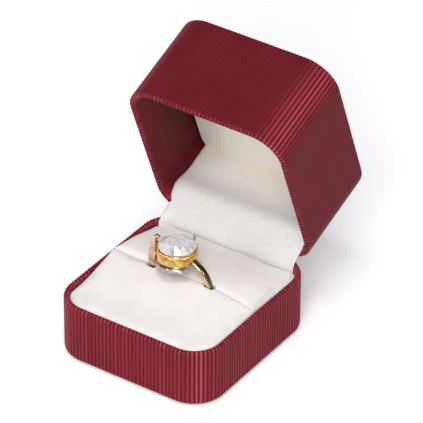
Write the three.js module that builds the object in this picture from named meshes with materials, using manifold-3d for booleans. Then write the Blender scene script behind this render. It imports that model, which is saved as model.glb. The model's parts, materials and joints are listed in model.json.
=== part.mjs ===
// Hinged jewelry gift box for one ring: a ribbed, paper-covered base and lid on a snap hinge, with
// velvet pads, a satin apron and roof lining, and a bypass ring held upright in the slot.
//
// Frame: millimetres, origin at the centre of the underside, +X to the box's own left-to-right,
// +Y to the back (the hinge side), +Z up. The lid group is turned about the hinge axis, so the
// model stands as it does on a counter, with the lid open.
import * as THREE from "three";
import { mergeVertices } from "three/addons/utils/BufferGeometryUtils.js";
import Module from "manifold-3d";

const wasm = await Module();
wasm.setup();

// Driving dimensions.
const WIDTH = 50;
const DEPTH = 53.2;
const CORNER = 9.5; // radius of the four upright corners
const BASE_HEIGHT = 17.7;
const LID_HEIGHT = 29.2;
const BASE_EDGE = 1.4; // rounding where the walls meet the underside
const LID_EDGE = 1.4; // rounding where the lid's walls meet its top
const RIM = 1.75; // thickness of a wall over its rolled rim
const RIM_GAP = 1; // between the two rims when the box is shut
const OPEN_ANGLE = 69; // degrees that the lid stands open from shut
const PAPER = 0.3; // covering paper
const GAP = 0.1; // between a covering and what it covers
const TURN_IN = 5; // how far the covering runs down inside the wall
const UNDERLAP = 5; // how far it runs in under the tray
const FLOOR = 1.1; // moulded floor and roof
const CLEARANCE = 0.3; // round what is pressed in or stands beside a moving piece
const STACK_GAP = 0.2; // between the pieces stacked in a tray

// Hinge.
const AXIS_INSET = 0.9; // from the back face to the hinge axis
const BARREL_RADIUS = 0.9;
const BORE_RADIUS = 0.48;
const PIN_RADIUS = 0.4;
const PIN_OVERHANG = 0.3; // of the pin beyond the leaves at each end
const BARREL_RELIEF = 0.25; // between the turning barrels and the trays' notches
const KNUCKLE_GAP = 0.1; // each knuckle's share of the gap to its neighbour
const KNUCKLES = 5;
const LEAF_WIDTH = 27;
const LEAF_HEIGHT = 9;
const LEAF_THICKNESS = 0.35;
const LEAF_OUTER = 1; // from the axis to the leaf's face that lies on the wall
const RIVET_X = 10;
const RIVET_DROP = 7; // from the axis to the rivets
const RIVET_RADIUS = 0.5;
const RIVET_HOLE = 0.62;
const RIVET_DEPTH = 1.2; // of the rivet's blind hole in the wall
const SPRING_WIDTH = 12;
const SPRING_THICKNESS = 0.25;

// Insert.
const PAD_RISE = 0.9; // pads' crown above the base's rim
const PAD_HEIGHT = 12.6;
const BOARD = 0.8; // card thickness
const SLIT = 0.5; // between the two pads
const REAR_PAD_BACK = 22.6; // y of the rear pad's back edge
const ROOF_DEPTH = 20.6; // from the lid's rim to its lining
const LINING = 1.5;
const APRON = 0.4;
const APRON_WIDTH = 38.8;

// Ring.
const RING_X = -0.45;
const RING_Z = 16.9;
const BAND_RADIUS = 9.5; // middle of the band's thickness
const BAND_THICKNESS = 1.7;
const BAND_WIDTH = 3.4;
const HEAD_X = -1.8;
const STONE_Z = 29; // underside of the stone's girdle
const STONE_RADIUS = 5.3;
const COLLAR_RADIUS = 5.55;
const COLLAR_HEIGHT = 3.9;
const SEAT_GAP = 0.25; // between the collar and the girdle
const CLAW_RADIUS = 0.33;

// Worked out from them.
const AXIS_Y = DEPTH / 2 - AXIS_INSET;
const AXIS_Z = BASE_HEIGHT + RIM_GAP / 2;
const COVER = PAPER + GAP; // what the covering adds to each side of the moulded wall
const PAD_TOP = BASE_HEIGHT + PAD_RISE;
const PAD_BOTTOM = PAD_TOP - PAD_HEIGHT;
const TRAY_BOTTOM = PAPER + GAP; // the coverings lie on the end panels
const COLLAR_TOP = STONE_Z - SEAT_GAP;
const POCKET_RADIUS = BAND_RADIUS + BAND_THICKNESS / 2 + CLEARANCE;
const POCKET_HALF_WIDTH = BAND_WIDTH / 2 + 2 * CLEARANCE;

const FINISHES = {
  leatherette: { color: 0x7a1f30, roughness: 0.45, metalness: 0 },
  moulding: { color: 0x4b151d, roughness: 0.5, metalness: 0 },
  velvet: { color: 0xece8e4, roughness: 1, metalness: 0 },
  satin: { color: 0xf0eee9, roughness: 0.45, metalness: 0 },
  foam: { color: 0xe6e2d8, roughness: 1, metalness: 0 },
  card: { color: 0xcfc6b4, roughness: 0.9, metalness: 0 },
  steel: { color: 0xb9bcc0, roughness: 0.3, metalness: 1 },
  gold: { color: 0xd9a648, roughness: 0.15, metalness: 1 },
  whiteGold: { color: 0xd8d8da, roughness: 0.12, metalness: 1 },
  crystal: { color: 0xffffff, roughness: 0.02, metalness: 0 },
};

// ---------------------------------------------------------------- shared geometry

// Loop of points round the box at height z, inset from the outer walls. Counter-clockwise from above.
function outline(inset, z, steps = 6) {
  const radius = Math.max(CORNER - inset, 0.4);
  const x = WIDTH / 2 - inset - radius;
  const y = DEPTH / 2 - inset - radius;
  const corners = [[x, y], [-x, y], [-x, -y], [x, -y]];
  return corners.flatMap(([cx, cy], quarter) =>
    Array.from({ length: steps + 1 }, (_, k) => {
      const a = (quarter + k / steps) * (Math.PI / 2);
      return new THREE.Vector3(cx + radius * Math.cos(a), cy + radius * Math.sin(a), z);
    }),
  );
}

// Skin through a run of equal loops. A closed run joins its last loop to its first, and an open
// one is capped at both ends.
function loft(loops, closed) {
  const count = loops[0].length;
  const points = loops.flat();
  const index = [];
  const last = closed ? loops.length : loops.length - 1;
  for (let i = 0; i < last; i++) {
    const low = i * count;
    const high = ((i + 1) % loops.length) * count;
    for (let j = 0; j < count; j++) {
      const k = (j + 1) % count;
      index.push(low + j, low + k, high + k, low + j, high + k, high + j);
    }
  }
  if (!closed) {
    for (const top of [false, true]) {
      const loop = top ? loops.at(-1) : loops[0];
      const start = top ? (loops.length - 1) * count : 0;
      const hub = points.length;
      points.push(loop.reduce((sum, p) => sum.add(p), new THREE.Vector3()).divideScalar(count));
      for (let j = 0; j < count; j++) {
        const k = (j + 1) % count;
        index.push(hub, start + (top ? j : k), start + (top ? k : j));
      }
    }
  }
  const geometry = new THREE.BufferGeometry().setFromPoints(points);
  geometry.setIndex(index);
  return geometry;
}

// Points [inset, z] of an arc in a wall's profile, its angles in degrees.
function arc(inset, z, radius, from, to, steps = 4) {
  return Array.from({ length: steps + 1 }, (_, k) => {
    const a = THREE.MathUtils.degToRad(from + ((to - from) * k) / steps);
    return [inset + radius * Math.cos(a), z + radius * Math.sin(a)];
  });
}

function solid(geometry) {
  const bare = geometry.clone();
  bare.deleteAttribute("normal");
  bare.deleteAttribute("uv");
  const merged = mergeVertices(bare, 1e-4);
  const vertProperties = merged.attributes.position.array;
  const triVerts = new Uint32Array(merged.index.array);
  return new wasm.Manifold(new wasm.Mesh({ numProp: 3, vertProperties, triVerts }));
}

function surface(body) {
  const mesh = body.getMesh();
  const geometry = new THREE.BufferGeometry();
  geometry.setAttribute("position", new THREE.BufferAttribute(mesh.vertProperties, 3));
  geometry.setIndex(new THREE.BufferAttribute(mesh.triVerts, 1));
  return geometry;
}

function cut(geometry, ...tools) {
  return surface(tools.reduce((left, tool) => left.subtract(solid(tool)), solid(geometry)));
}

function join(geometry, ...others) {
  return surface(others.reduce((sum, other) => sum.add(solid(other)), solid(geometry)));
}

function box(x0, x1, y0, y1, z0, z1) {
  const block = new THREE.BoxGeometry(x1 - x0, y1 - y0, z1 - z0);
  return block.translate((x0 + x1) / 2, (y0 + y1) / 2, (z0 + z1) / 2);
}

// Round bar along X from x0 to x1, its centre line at (y, z).
function barX(radius, x0, x1, y, z, sides = 16) {
  const bar = new THREE.CylinderGeometry(radius, radius, x1 - x0, sides);
  return bar.rotateZ(Math.PI / 2).translate((x0 + x1) / 2, y, z);
}

// Round bar along Y.
function barY(radius, y0, y1, x, z, sides = 12) {
  return new THREE.CylinderGeometry(radius, radius, y1 - y0, sides).translate(x, (y0 + y1) / 2, z);
}

function mesh(name, geometry, finish) {
  geometry.computeVertexNormals();
  const made = new THREE.Mesh(geometry, new THREE.MeshStandardMaterial(FINISHES[finish]));
  made.name = name;
  return made;
}

// ---------------------------------------------------------------- the two half shells

// Base and lid are the same kind of tray, with the closed end at z = 0 and the rim at z = height.
// `side` is +1 where the hinge is at +Y and -1 where the tray will be turned over.
function reliefs(height, side) {
  const axisZ = height + RIM_GAP / 2;
  const halfNotch = LEAF_WIDTH / 2 + 1;
  const notch = barX(BARREL_RADIUS + BARREL_RELIEF, -halfNotch, halfNotch, side * AXIS_Y, axisZ);
  const rivets = [-RIVET_X, RIVET_X].map((x) => {
    const inner = side * (AXIS_Y - LEAF_OUTER);
    const deep = inner + side * RIVET_DEPTH;
    return barY(RIVET_HOLE, Math.min(inner, deep), Math.max(inner, deep), x, axisZ - RIVET_DROP);
  });
  return [notch, ...rivets];
}

// Moulded tray: floor, walls and a rounded rim, all inside the covering.
function shellGeometry(height, edge, side) {
  const rimRadius = RIM / 2 - COVER;
  const wallInset = RIM - COVER;
  const inside = TRAY_BOTTOM + COVER + FLOOR;
  const ease = 0.7; // where the wall meets the floor
  const profile = [
    ...arc(edge, edge + COVER, edge - COVER, 270, 180),
    ...arc(RIM / 2, height - RIM / 2, rimRadius, 180, 0, 6),
    [wallInset, inside + ease],
    [wallInset + ease, inside],
  ];
  return cut(loft(profile.map(([inset, z]) => outline(inset, z)), false), ...reliefs(height, side));
}

// Ribbed covering: under the edge, up the wall, over the rim and down inside.
function wrapGeometry(height, edge, side) {
  const profile = [
    [UNDERLAP, TRAY_BOTTOM],
    ...arc(edge, edge + COVER, edge, 270, 180),
    ...arc(RIM / 2, height - RIM / 2, RIM / 2, 180, 0, 8),
    [RIM, height - TURN_IN],
    [RIM - PAPER, height - TURN_IN],
    ...arc(RIM / 2, height - RIM / 2, RIM / 2 - PAPER, 0, 180, 8),
    ...arc(edge, edge + COVER, edge - PAPER, 180, 270),
    [UNDERLAP, TRAY_BOTTOM + PAPER],
  ];
  return cut(loft(profile.map(([inset, z]) => outline(inset, z)), true), ...reliefs(height, side));
}

function plate(inset, z0, z1) {
  return loft([outline(inset, z0), outline(inset, z1)], false);
}

// Plate with its two edges eased, for card, foam and padded pieces.
function easedPlate(inset, z0, z1, ease) {
  const levels = [[inset + ease, z0], [inset, z0 + ease], [inset, z1 - ease], [inset + ease, z1]];
  return loft(levels.map(([i, z]) => outline(i, z)), false);
}

// ---------------------------------------------------------------- insert in the base

// Half of the base's inner outline, between y0 and y1, as a shape. The pads' outer corners follow
// the wall, and the rear pad stops short of it to leave the apron its place.
function padShape(sign, slitY, backY) {
  const inset = RIM + CLEARANCE;
  const radius = CORNER - inset;
  const x = WIDTH / 2 - inset;
  const cx = x - radius;
  const cy = DEPTH / 2 - inset - radius;
  const end = Math.asin(Math.min((backY - cy) / radius, 1));
  const shape = new THREE.Shape();
  shape.moveTo(-sign * x, sign * slitY);
  shape.lineTo(sign * x, sign * slitY);
  if (sign > 0) {
    shape.absarc(cx, cy, radius, 0, end, false);
    shape.absarc(-cx, cy, radius, Math.PI - end, Math.PI, false);
  } else {
    shape.absarc(-cx, -cy, radius, Math.PI, Math.PI + end, false);
    shape.absarc(cx, -cy, radius, 2 * Math.PI - end, 2 * Math.PI, false);
  }
  shape.closePath();
  return shape;
}

// Velvet-covered foam pad, with the shallow round pocket that half the ring's band sits in.
function padGeometry(sign, backY) {
  const bevel = 0.9;
  const pad = new THREE.ExtrudeGeometry(padShape(sign, SLIT / 2, backY), {
    depth: PAD_HEIGHT - 2 * bevel,
    bevelSize: bevel,
    bevelThickness: bevel,
    bevelOffset: -bevel,
    bevelSegments: 2,
    curveSegments: 5,
  }).translate(0, 0, PAD_BOTTOM + bevel);
  const pocket = barY(POCKET_RADIUS, -POCKET_HALF_WIDTH, POCKET_HALF_WIDTH, RING_X, RING_Z, 24);
  return cut(pad, pocket);
}

// ---------------------------------------------------------------- hinge

// x of the ends of knuckle k, with running clearance between neighbours.
function knuckle(k) {
  const length = LEAF_WIDTH / KNUCKLES;
  const start = -LEAF_WIDTH / 2 + k * length;
  return [start + KNUCKLE_GAP, start + length - KNUCKLE_GAP];
}

// Leaf with its knuckles, in coordinates about the hinge axis, for the base (down = -1) or lid (+1).
function leafGeometry(down, parity) {
  const back = -LEAF_OUTER;
  const front = back - LEAF_THICKNESS;
  const half = LEAF_WIDTH / 2 - KNUCKLE_GAP;
  const near = down * 0.05;
  const far = down * LEAF_HEIGHT;
  const bridge = down * 0.4; // the web that joins a knuckle to the leaf
  const plateBlock = box(-half, half, front, back, Math.min(near, far), Math.max(near, far));
  const pieces = [];
  for (let k = parity; k < KNUCKLES; k += 2) {
    const [x0, x1] = knuckle(k);
    pieces.push(barX(BARREL_RADIUS, x0, x1, 0, 0));
    pieces.push(box(x0, x1, front, -0.6, Math.min(near, bridge), Math.max(near, bridge)));
  }
  const holes = [-RIVET_X, RIVET_X].map((x) => barY(RIVET_HOLE, front - 1, back + 0.1, x, down * RIVET_DROP));
  // Room for the other leaf's knuckles, which turn about the same axis.
  const room = down * 1.6;
  const notches = [];
  for (let k = 1 - parity; k < KNUCKLES; k += 2) {
    const x0 = knuckle(k)[0] - 2 * KNUCKLE_GAP;
    const x1 = knuckle(k)[1] + 2 * KNUCKLE_GAP;
    notches.push(box(x0, x1, front - 1, back + 1, Math.min(0, room), Math.max(0, room)));
  }
  const bore = barX(BORE_RADIUS, -LEAF_WIDTH, LEAF_WIDTH, 0, 0);
  return cut(join(plateBlock, ...pieces), bore, ...holes, ...notches);
}

// Rivet with a domed head on the leaf and a shank in the wall's blind hole.
function rivetGeometry() {
  const dome = [[0, 0], [0.9, 0.02], [0.85, 0.2], [0.5, 0.38], [0, 0.42]];
  const head = new THREE.LatheGeometry(dome.map(([r, h]) => new THREE.Vector2(r, h)), 12);
  const length = RIVET_DEPTH - 0.1;
  const shank = new THREE.CylinderGeometry(RIVET_RADIUS, RIVET_RADIUS, length, 12);
  shank.translate(0, 0.05 - length / 2, 0);
  return join(head, shank);
}

// Point of the lid, given about the hinge axis with the lid shut, as it stands with the lid open.
function openPoint(y, z) {
  const a = THREE.MathUtils.degToRad(OPEN_ANGLE);
  return [y * Math.cos(a) + z * Math.sin(a), z * Math.cos(a) - y * Math.sin(a)];
}

// Strip of even thickness along a smooth curve in the Y-Z plane, from x = -width/2 to +width/2.
function stripGeometry(route, width, thickness, steps) {
  const curve = new THREE.CatmullRomCurve3(route.map(([y, z]) => new THREE.Vector3(0, y, z)));
  const loops = Array.from({ length: steps + 1 }, (_, k) => {
    const p = curve.getPoint(k / steps);
    const along = curve.getTangent(k / steps);
    const normal = new THREE.Vector3(0, -along.z, along.y).multiplyScalar(thickness / 2);
    const half = new THREE.Vector3(width / 2, 0, 0);
    return [
      p.clone().add(normal).add(half),
      p.clone().sub(normal).add(half),
      p.clone().sub(normal).sub(half),
      p.clone().add(normal).sub(half),
    ];
  });
  return loft(loops, false);
}

// ---------------------------------------------------------------- ring

// Centre line of the band: up the right shoulder to the collar, round underneath, then up the
// left side and past the front of the collar to the claw that ends it.
function bandRoute() {
  const route = [];
  for (let angle = 31; angle <= 295; angle += 12) {
    const a = THREE.MathUtils.degToRad(angle);
    route.push(new THREE.Vector3(RING_X + BAND_RADIUS * Math.sin(a), 0, RING_Z + BAND_RADIUS * Math.cos(a)));
  }
  route.push(new THREE.Vector3(HEAD_X - 6.9, -0.9, 24.6));
  route.push(new THREE.Vector3(HEAD_X - 6.35, -1.6, 27.6));
  route.push(new THREE.Vector3(HEAD_X - 5.85, -2, 30));
  return route;
}

// Band of rounded section. It is widest at the shoulders and narrows underneath and at its ends.
function bandGeometry() {
  const curve = new THREE.CatmullRomCurve3(bandRoute());
  const steps = 44;
  const loops = Array.from({ length: steps + 1 }, (_, k) => {
    const t = k / steps;
    const p = curve.getPoint(t);
    const along = curve.getTangent(t);
    const out = new THREE.Vector3(along.z, 0, -along.x).normalize();
    const side = new THREE.Vector3().crossVectors(out, along).normalize();
    const taper = Math.min(1, 0.55 + 4 * (1 - t), 0.6 + 6 * t);
    const halfWidth = (BAND_WIDTH / 2) * (0.66 + 0.34 * Math.abs(2 * t - 1)) * taper;
    const halfThickness = (BAND_THICKNESS / 2) * Math.min(1, 0.55 + 3 * (1 - t));
    return Array.from({ length: 8 }, (_, j) => {
      const a = (j / 8) * 2 * Math.PI + Math.PI / 8;
      const across = side.clone().multiplyScalar(halfWidth * Math.cos(a) * 1.08);
      return p.clone().add(across).add(out.clone().multiplyScalar(halfThickness * Math.sin(a) * 1.08));
    });
  });
  return loft(loops, false);
}

// Turned piece about the head's own upright axis, from closed [radius, z] points.
function turned(profile, sides) {
  const points = [...profile, profile[0]].map(([r, z]) => new THREE.Vector2(r, z));
  return new THREE.LatheGeometry(points, sides).rotateX(Math.PI / 2).translate(HEAD_X, 0, 0);
}

function collarGeometry() {
  const top = COLLAR_TOP;
  const low = top - COLLAR_HEIGHT;
  return turned([[COLLAR_RADIUS - 0.7, low + 0.2], [COLLAR_RADIUS - 0.35, low], [COLLAR_RADIUS, low + 0.4],
    [COLLAR_RADIUS, top - 0.1], [COLLAR_RADIUS - 0.2, top], [COLLAR_RADIUS - 0.42, top - 0.05]], 28);
}

// White metal hoop under the collar, which closes the bore above the finger.
function galleryGeometry() {
  const top = COLLAR_TOP - COLLAR_HEIGHT - 0.15;
  return turned([[2.6, top - 0.7], [3.9, top - 0.9], [4.9, top - 0.1], [4.6, top], [2.9, top - 0.1]], 24);
}

// Round brilliant: table, crown, girdle and pavilion.
function stoneGeometry() {
  const pavilion = [[0, -3.5], [STONE_RADIUS - 0.9, -0.7], [STONE_RADIUS, 0]];
  const crown = [[STONE_RADIUS, 0.25], [4.3, 1.2], [3.1, 1.75], [0, 1.75]];
  const profile = [...pavilion, ...crown].map(([r, z]) => new THREE.Vector2(r, STONE_Z + z));
  return new THREE.LatheGeometry(profile, 16).rotateX(Math.PI / 2).translate(HEAD_X, 0, 0);
}

// Claw that stands outside the collar and hooks over the stone's crown.
function clawGeometry() {
  const route = [[COLLAR_RADIUS + 0.5, STONE_Z - 3.4], [COLLAR_RADIUS + 0.52, STONE_Z - 0.6],
    [COLLAR_RADIUS + 0.45, STONE_Z + 1.2], [COLLAR_RADIUS - 0.6, STONE_Z + 1.65]];
  const curve = new THREE.CatmullRomCurve3(route.map(([r, z]) => new THREE.Vector3(r, 0, z)));
  const section = new THREE.Shape().absarc(0, 0, CLAW_RADIUS, 0, 2 * Math.PI, false);
  return new THREE.ExtrudeGeometry(section, { extrudePath: curve, steps: 8, curveSegments: 4 });
}

// ---------------------------------------------------------------- assembly

const group = new THREE.Group();

const base = new THREE.Group();
base.add(mesh("underside_sheet", plate(BASE_EDGE + 0.4, 0, PAPER), "leatherette"));
base.add(mesh("base_wrap", wrapGeometry(BASE_HEIGHT, BASE_EDGE, 1), "leatherette"));
base.add(mesh("base_shell", shellGeometry(BASE_HEIGHT, BASE_EDGE, 1), "moulding"));
const foamBottom = TRAY_BOTTOM + COVER + FLOOR + STACK_GAP;
const foamInset = RIM + 2;
const foamEase = 0.3;
const boardInset = RIM + 0.7;
const padBoardTop = PAD_BOTTOM - STACK_GAP;
const riserTop = padBoardTop - BOARD - STACK_GAP;
base.add(mesh("riser_foam", easedPlate(foamInset, foamBottom, riserTop, foamEase), "foam"));
base.add(mesh("pad_board", plate(boardInset, padBoardTop - BOARD, padBoardTop), "card"));
base.add(mesh("front_pad", padGeometry(-1, DEPTH / 2), "velvet"));
base.add(mesh("rear_pad", padGeometry(1, REAR_PAD_BACK), "velvet"));
group.add(base);

// Hinge pieces stand in groups whose origin is the hinge axis.
const fixedHinge = new THREE.Group();
fixedHinge.position.set(0, AXIS_Y, AXIS_Z);
fixedHinge.add(mesh("hinge_leaf_base", leafGeometry(-1, 0), "steel"));
const pinEnd = LEAF_WIDTH / 2 + PIN_OVERHANG;
fixedHinge.add(mesh("hinge_pin", barX(PIN_RADIUS, -pinEnd, pinEnd, 0, 0, 12), "steel"));
const springFoot = [[-1.75, -6], [-1.85, -1.5], [-1.8, 0.4], [-0.9, 1.75]];
const springRoute = [...springFoot, openPoint(-1.8, 1.5), openPoint(-1.7, 6)];
const spring = stripGeometry(springRoute, SPRING_WIDTH, SPRING_THICKNESS, 14);
fixedHinge.add(mesh("snap_spring", spring, "steel"));
const lowerApron = [[-2.5, -8.5], [-2.5, -4], [-2.5, -0.3]];
fixedHinge.add(mesh("apron_lower", stripGeometry(lowerApron, APRON_WIDTH, APRON, 4), "satin"));
group.add(fixedHinge);

const lid = new THREE.Group();
lid.position.set(0, AXIS_Y, AXIS_Z);
lid.rotation.x = -THREE.MathUtils.degToRad(OPEN_ANGLE);
lid.add(mesh("hinge_leaf_lid", leafGeometry(1, 1), "steel"));
const apronTop = RIM_GAP / 2 + ROOF_DEPTH - 0.5;
const upperApron = [[-2.7, 1.3], [-4.6, 4.5], [-3.6, 12], [-2.2, apronTop]];
lid.add(mesh("apron_upper", stripGeometry(upperApron, APRON_WIDTH, APRON, 10), "satin"));
group.add(lid);

// The lid's tray is modelled closed end down, so its pieces hang in a group turned over.
const lidTray = new THREE.Group();
lidTray.rotation.x = Math.PI;
lidTray.position.set(0, -AXIS_Y, RIM_GAP / 2 + LID_HEIGHT);
lidTray.add(mesh("lid_top_sheet", plate(LID_EDGE + 0.6, 0, PAPER), "leatherette"));
lidTray.add(mesh("lid_wrap", wrapGeometry(LID_HEIGHT, LID_EDGE, -1), "leatherette"));
lidTray.add(mesh("lid_shell", shellGeometry(LID_HEIGHT, LID_EDGE, -1), "moulding"));
const liningTop = LID_HEIGHT - ROOF_DEPTH;
const roofBoardTop = liningTop - LINING - STACK_GAP;
const roofFoamTop = roofBoardTop - BOARD - STACK_GAP;
const lining = easedPlate(RIM + CLEARANCE, liningTop - LINING, liningTop, 0.5);
lidTray.add(mesh("roof_lining", lining, "satin"));
lidTray.add(mesh("roof_board", plate(boardInset, roofBoardTop - BOARD, roofBoardTop), "card"));
lidTray.add(mesh("roof_foam", easedPlate(foamInset, foamBottom, roofFoamTop, foamEase), "foam"));
lid.add(lidTray);

const rivetSeat = -LEAF_OUTER - LEAF_THICKNESS - 0.02;
for (const [side, x] of [["left", -RIVET_X], ["right", RIVET_X]]) {
  for (const [half, hinge, drop] of [["base", fixedHinge, -RIVET_DROP], ["lid", lid, RIVET_DROP]]) {
    const rivet = mesh(`${half}_rivet_${side}`, rivetGeometry(), "steel");
    rivet.position.set(x, rivetSeat, drop);
    rivet.rotation.x = Math.PI;
    hinge.add(rivet);
  }
}

const ring = new THREE.Group();
ring.add(mesh("ring_band", bandGeometry(), "gold"));
ring.add(mesh("ring_collar", collarGeometry(), "gold"));
ring.add(mesh("ring_gallery", galleryGeometry(), "whiteGold"));
ring.add(mesh("ring_stone", stoneGeometry(), "crystal"));
for (const [name, angle] of [["ring_claw_front", -70], ["ring_claw_back", 67]]) {
  const claw = mesh(name, clawGeometry(), "gold");
  claw.position.x = HEAD_X;
  claw.rotation.z = THREE.MathUtils.degToRad(angle);
  ring.add(claw);
}
group.add(ring);

export default group;
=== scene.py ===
# %% Load the frame
import json
import math
import random

import bmesh
import bpy
import numpy as np
from mathutils import Matrix, Vector, noise


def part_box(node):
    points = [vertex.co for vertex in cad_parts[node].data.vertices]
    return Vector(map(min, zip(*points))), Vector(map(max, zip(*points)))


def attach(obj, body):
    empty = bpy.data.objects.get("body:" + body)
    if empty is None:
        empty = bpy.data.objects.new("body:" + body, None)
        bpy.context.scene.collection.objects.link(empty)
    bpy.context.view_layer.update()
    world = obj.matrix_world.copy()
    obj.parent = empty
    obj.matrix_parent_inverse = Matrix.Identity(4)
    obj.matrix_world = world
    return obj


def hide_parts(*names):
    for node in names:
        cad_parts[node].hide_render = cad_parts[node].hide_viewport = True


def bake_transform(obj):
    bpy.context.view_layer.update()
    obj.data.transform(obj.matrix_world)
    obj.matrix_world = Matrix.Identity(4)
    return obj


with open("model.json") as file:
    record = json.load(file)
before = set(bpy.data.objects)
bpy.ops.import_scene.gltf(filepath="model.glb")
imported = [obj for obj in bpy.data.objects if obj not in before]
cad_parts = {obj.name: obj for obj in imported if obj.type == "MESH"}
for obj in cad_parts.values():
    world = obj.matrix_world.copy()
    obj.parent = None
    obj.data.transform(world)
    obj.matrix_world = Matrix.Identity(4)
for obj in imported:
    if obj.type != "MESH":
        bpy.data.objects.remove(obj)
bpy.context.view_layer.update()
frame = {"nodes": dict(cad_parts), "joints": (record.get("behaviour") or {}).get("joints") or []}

MM = 0.001

# %% [markdown]
# A ring box is two trays on a snap hinge: a shallow base, filled with a slotted velvet cushion,
# and a deep lid, lined with satin. Both trays are moulded plastic covered with ribbed paper.
# The overall sizes below come from the frame, so a change there moves the looks with it; the corner,
# rim, paper and rib sizes are set here. The lid is easiest to think about when it is shut, so its
# pieces are built shut and turned to rest at the end.

# %% Sizes from the frame
LID_HINGE = next(j for j in frame["joints"] if j["name"] == "lid_hinge")
AXIS = Vector(LID_HINGE["pos_m"])
OPEN_ANGLE = math.radians(-LID_HINGE["range_deg"][0])
OPENING = Matrix.Translation(AXIS) @ Matrix.Rotation(-OPEN_ANGLE, 4, "X") @ Matrix.Translation(-AXIS)


def shut_box(node):
    """Lowest and highest corner of a lid node, with the lid shut."""
    closing = OPENING.inverted()
    points = np.array([closing @ v.co for v in frame["nodes"][node].data.vertices])
    return Vector(points.min(axis=0)), Vector(points.max(axis=0))


BASE_LOW, BASE_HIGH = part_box("base_wrap")
WIDTH = BASE_HIGH.x - BASE_LOW.x
DEPTH = BASE_HIGH.y - BASE_LOW.y
BASE_TOP = BASE_HIGH.z
LID_RIM = shut_box("lid_wrap")[0].z
LID_TOP = shut_box("lid_top_sheet")[1].z
CORNER = 9.5 * MM
RIM = 1.75 * MM
PAPER = 0.3 * MM
RIB_PITCH = 1.2 * MM
STEPS_PER_RIB = 7
GROOVE_SHARPNESS = 1.4
print("base", round(WIDTH / MM, 2), "x", round(DEPTH / MM, 2), "x", round(BASE_TOP / MM, 2), "mm")
print("lid height", round((LID_TOP - LID_RIM) / MM, 2), "mm")
print("lid open by", round(math.degrees(OPEN_ANGLE)), "degrees")

# %% [markdown]
# Three small helpers are used throughout. One puts a mesh, a lamp or a camera into the scene, one
# writes a number to every point or face of a mesh for a finish to read, and one keeps a number
# between 0 and 1.

# %% Helpers for objects and numbers
def linked(name, data):
    made = bpy.data.objects.new(name, data)
    bpy.context.scene.collection.objects.link(made)
    return made


def set_mark(mesh, name, values, domain="POINT"):
    mesh.attributes.new(name, "FLOAT", domain).data.foreach_set("value", values)


def clamped(value):
    return min(1.0, max(0.0, value))


# %% [markdown]
# The camera stands a metre off with a long lens, a little above and to the right of the box, so
# that the near corner points at the viewer. A long lens keeps the upright edges parallel.

# %% Camera
AZIMUTH = math.radians(34.2)
ELEVATION = math.radians(34.27)
ROLL = math.radians(0.37)
DISTANCE = 1.0535
AIM = Vector((0, 0, 20 * MM))
PAN_RIGHT = 7.69 * MM
PAN_UP = 17.06 * MM


def add_camera():
    back = Vector((
        math.sin(AZIMUTH) * math.cos(ELEVATION),
        -math.cos(AZIMUTH) * math.cos(ELEVATION),
        math.sin(ELEVATION),
    ))
    level = Vector((math.cos(AZIMUTH), math.sin(AZIMUTH), 0))
    upright = back.cross(level)
    right = level * math.cos(ROLL) + upright * math.sin(ROLL)
    up = back.cross(right)
    data = bpy.data.cameras.new("camera")
    data.sensor_width = 36
    data.lens = 333.8
    data.clip_end = 20
    camera = linked("camera", data)
    turn = Matrix((right, up, back)).transposed().to_4x4()
    place = AIM + back * DISTANCE + right * PAN_RIGHT + up * PAN_UP
    camera.matrix_world = Matrix.Translation(place) @ turn
    bpy.context.scene.camera = camera
    return camera


camera = add_camera()
print("camera at", [round(c, 3) for c in camera.location])

# %% [markdown]
# Soft light from all round, as in a white tent: a bright sky, one large lamp over the viewer's
# shoulder that reaches under the open lid, one high in front for the cushion, one low on the left
# that shapes the ribs and the satin, and a weak one on the right for the near corner. The paper
# floor glows faintly, as a lit backdrop does, so that the shadows on it stay thin.

# %% Floor and lights
def add_lamp(name, place, size, power):
    """Round lamp of the given size in metres and power in watts, aimed at the middle of the box."""
    data = bpy.data.lights.new(name, "AREA")
    data.shape = "DISK"
    data.size = size
    data.energy = power
    lamp = linked(name, data)
    lamp.location = place
    lamp.rotation_euler = (Vector((0, 0.01, 0.03)) - Vector(place)).to_track_quat("-Z", "Y").to_euler()


def add_studio():
    world = bpy.data.worlds.new("white tent")
    bpy.context.scene.world = world
    world.use_nodes = True
    sky = world.node_tree.nodes["Background"].inputs
    sky["Color"].default_value = (1, 1, 1, 1)
    sky["Strength"].default_value = 0.3
    add_lamp("low on the left", (-0.3, -0.75, 0.42), size=0.3, power=1.3)
    add_lamp("over the shoulder", (0.38, -0.67, 0.63), size=0.4, power=4.7)
    add_lamp("high in front", (0.12, -0.3, 0.93), size=0.4, power=3.0)
    add_lamp("high on the right", (0.6, 0.18, 0.46), size=0.1, power=0.6)
    bpy.context.scene.view_settings.view_transform = "Standard"


def add_floor():
    mesh = bpy.data.meshes.new("floor")
    reach = 3
    corners = [(-reach, -reach, 0), (reach, -reach, 0), (reach, reach, 0), (-reach, reach, 0)]
    mesh.from_pydata(corners, [], [(0, 1, 2, 3)])
    floor = linked("floor", mesh)
    material = bpy.data.materials.new("pale paper floor")
    material.use_nodes = True
    principled = material.node_tree.nodes["Principled BSDF"]
    principled.inputs["Base Color"].default_value = (0.985, 0.985, 0.985, 1)
    principled.inputs["Roughness"].default_value = 0.9
    principled.inputs["Emission Color"].default_value = (1, 1, 1, 1)
    principled.inputs["Emission Strength"].default_value = 0.2
    mesh.materials.append(material)


add_studio()
add_floor()

# %% [markdown]
# Finishes come before shapes, so that each piece can be given its own as it is made. Effects
# that several finishes share are node groups: a fine grain for everything but the satin, and a
# crossed weave for the satin.

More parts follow.
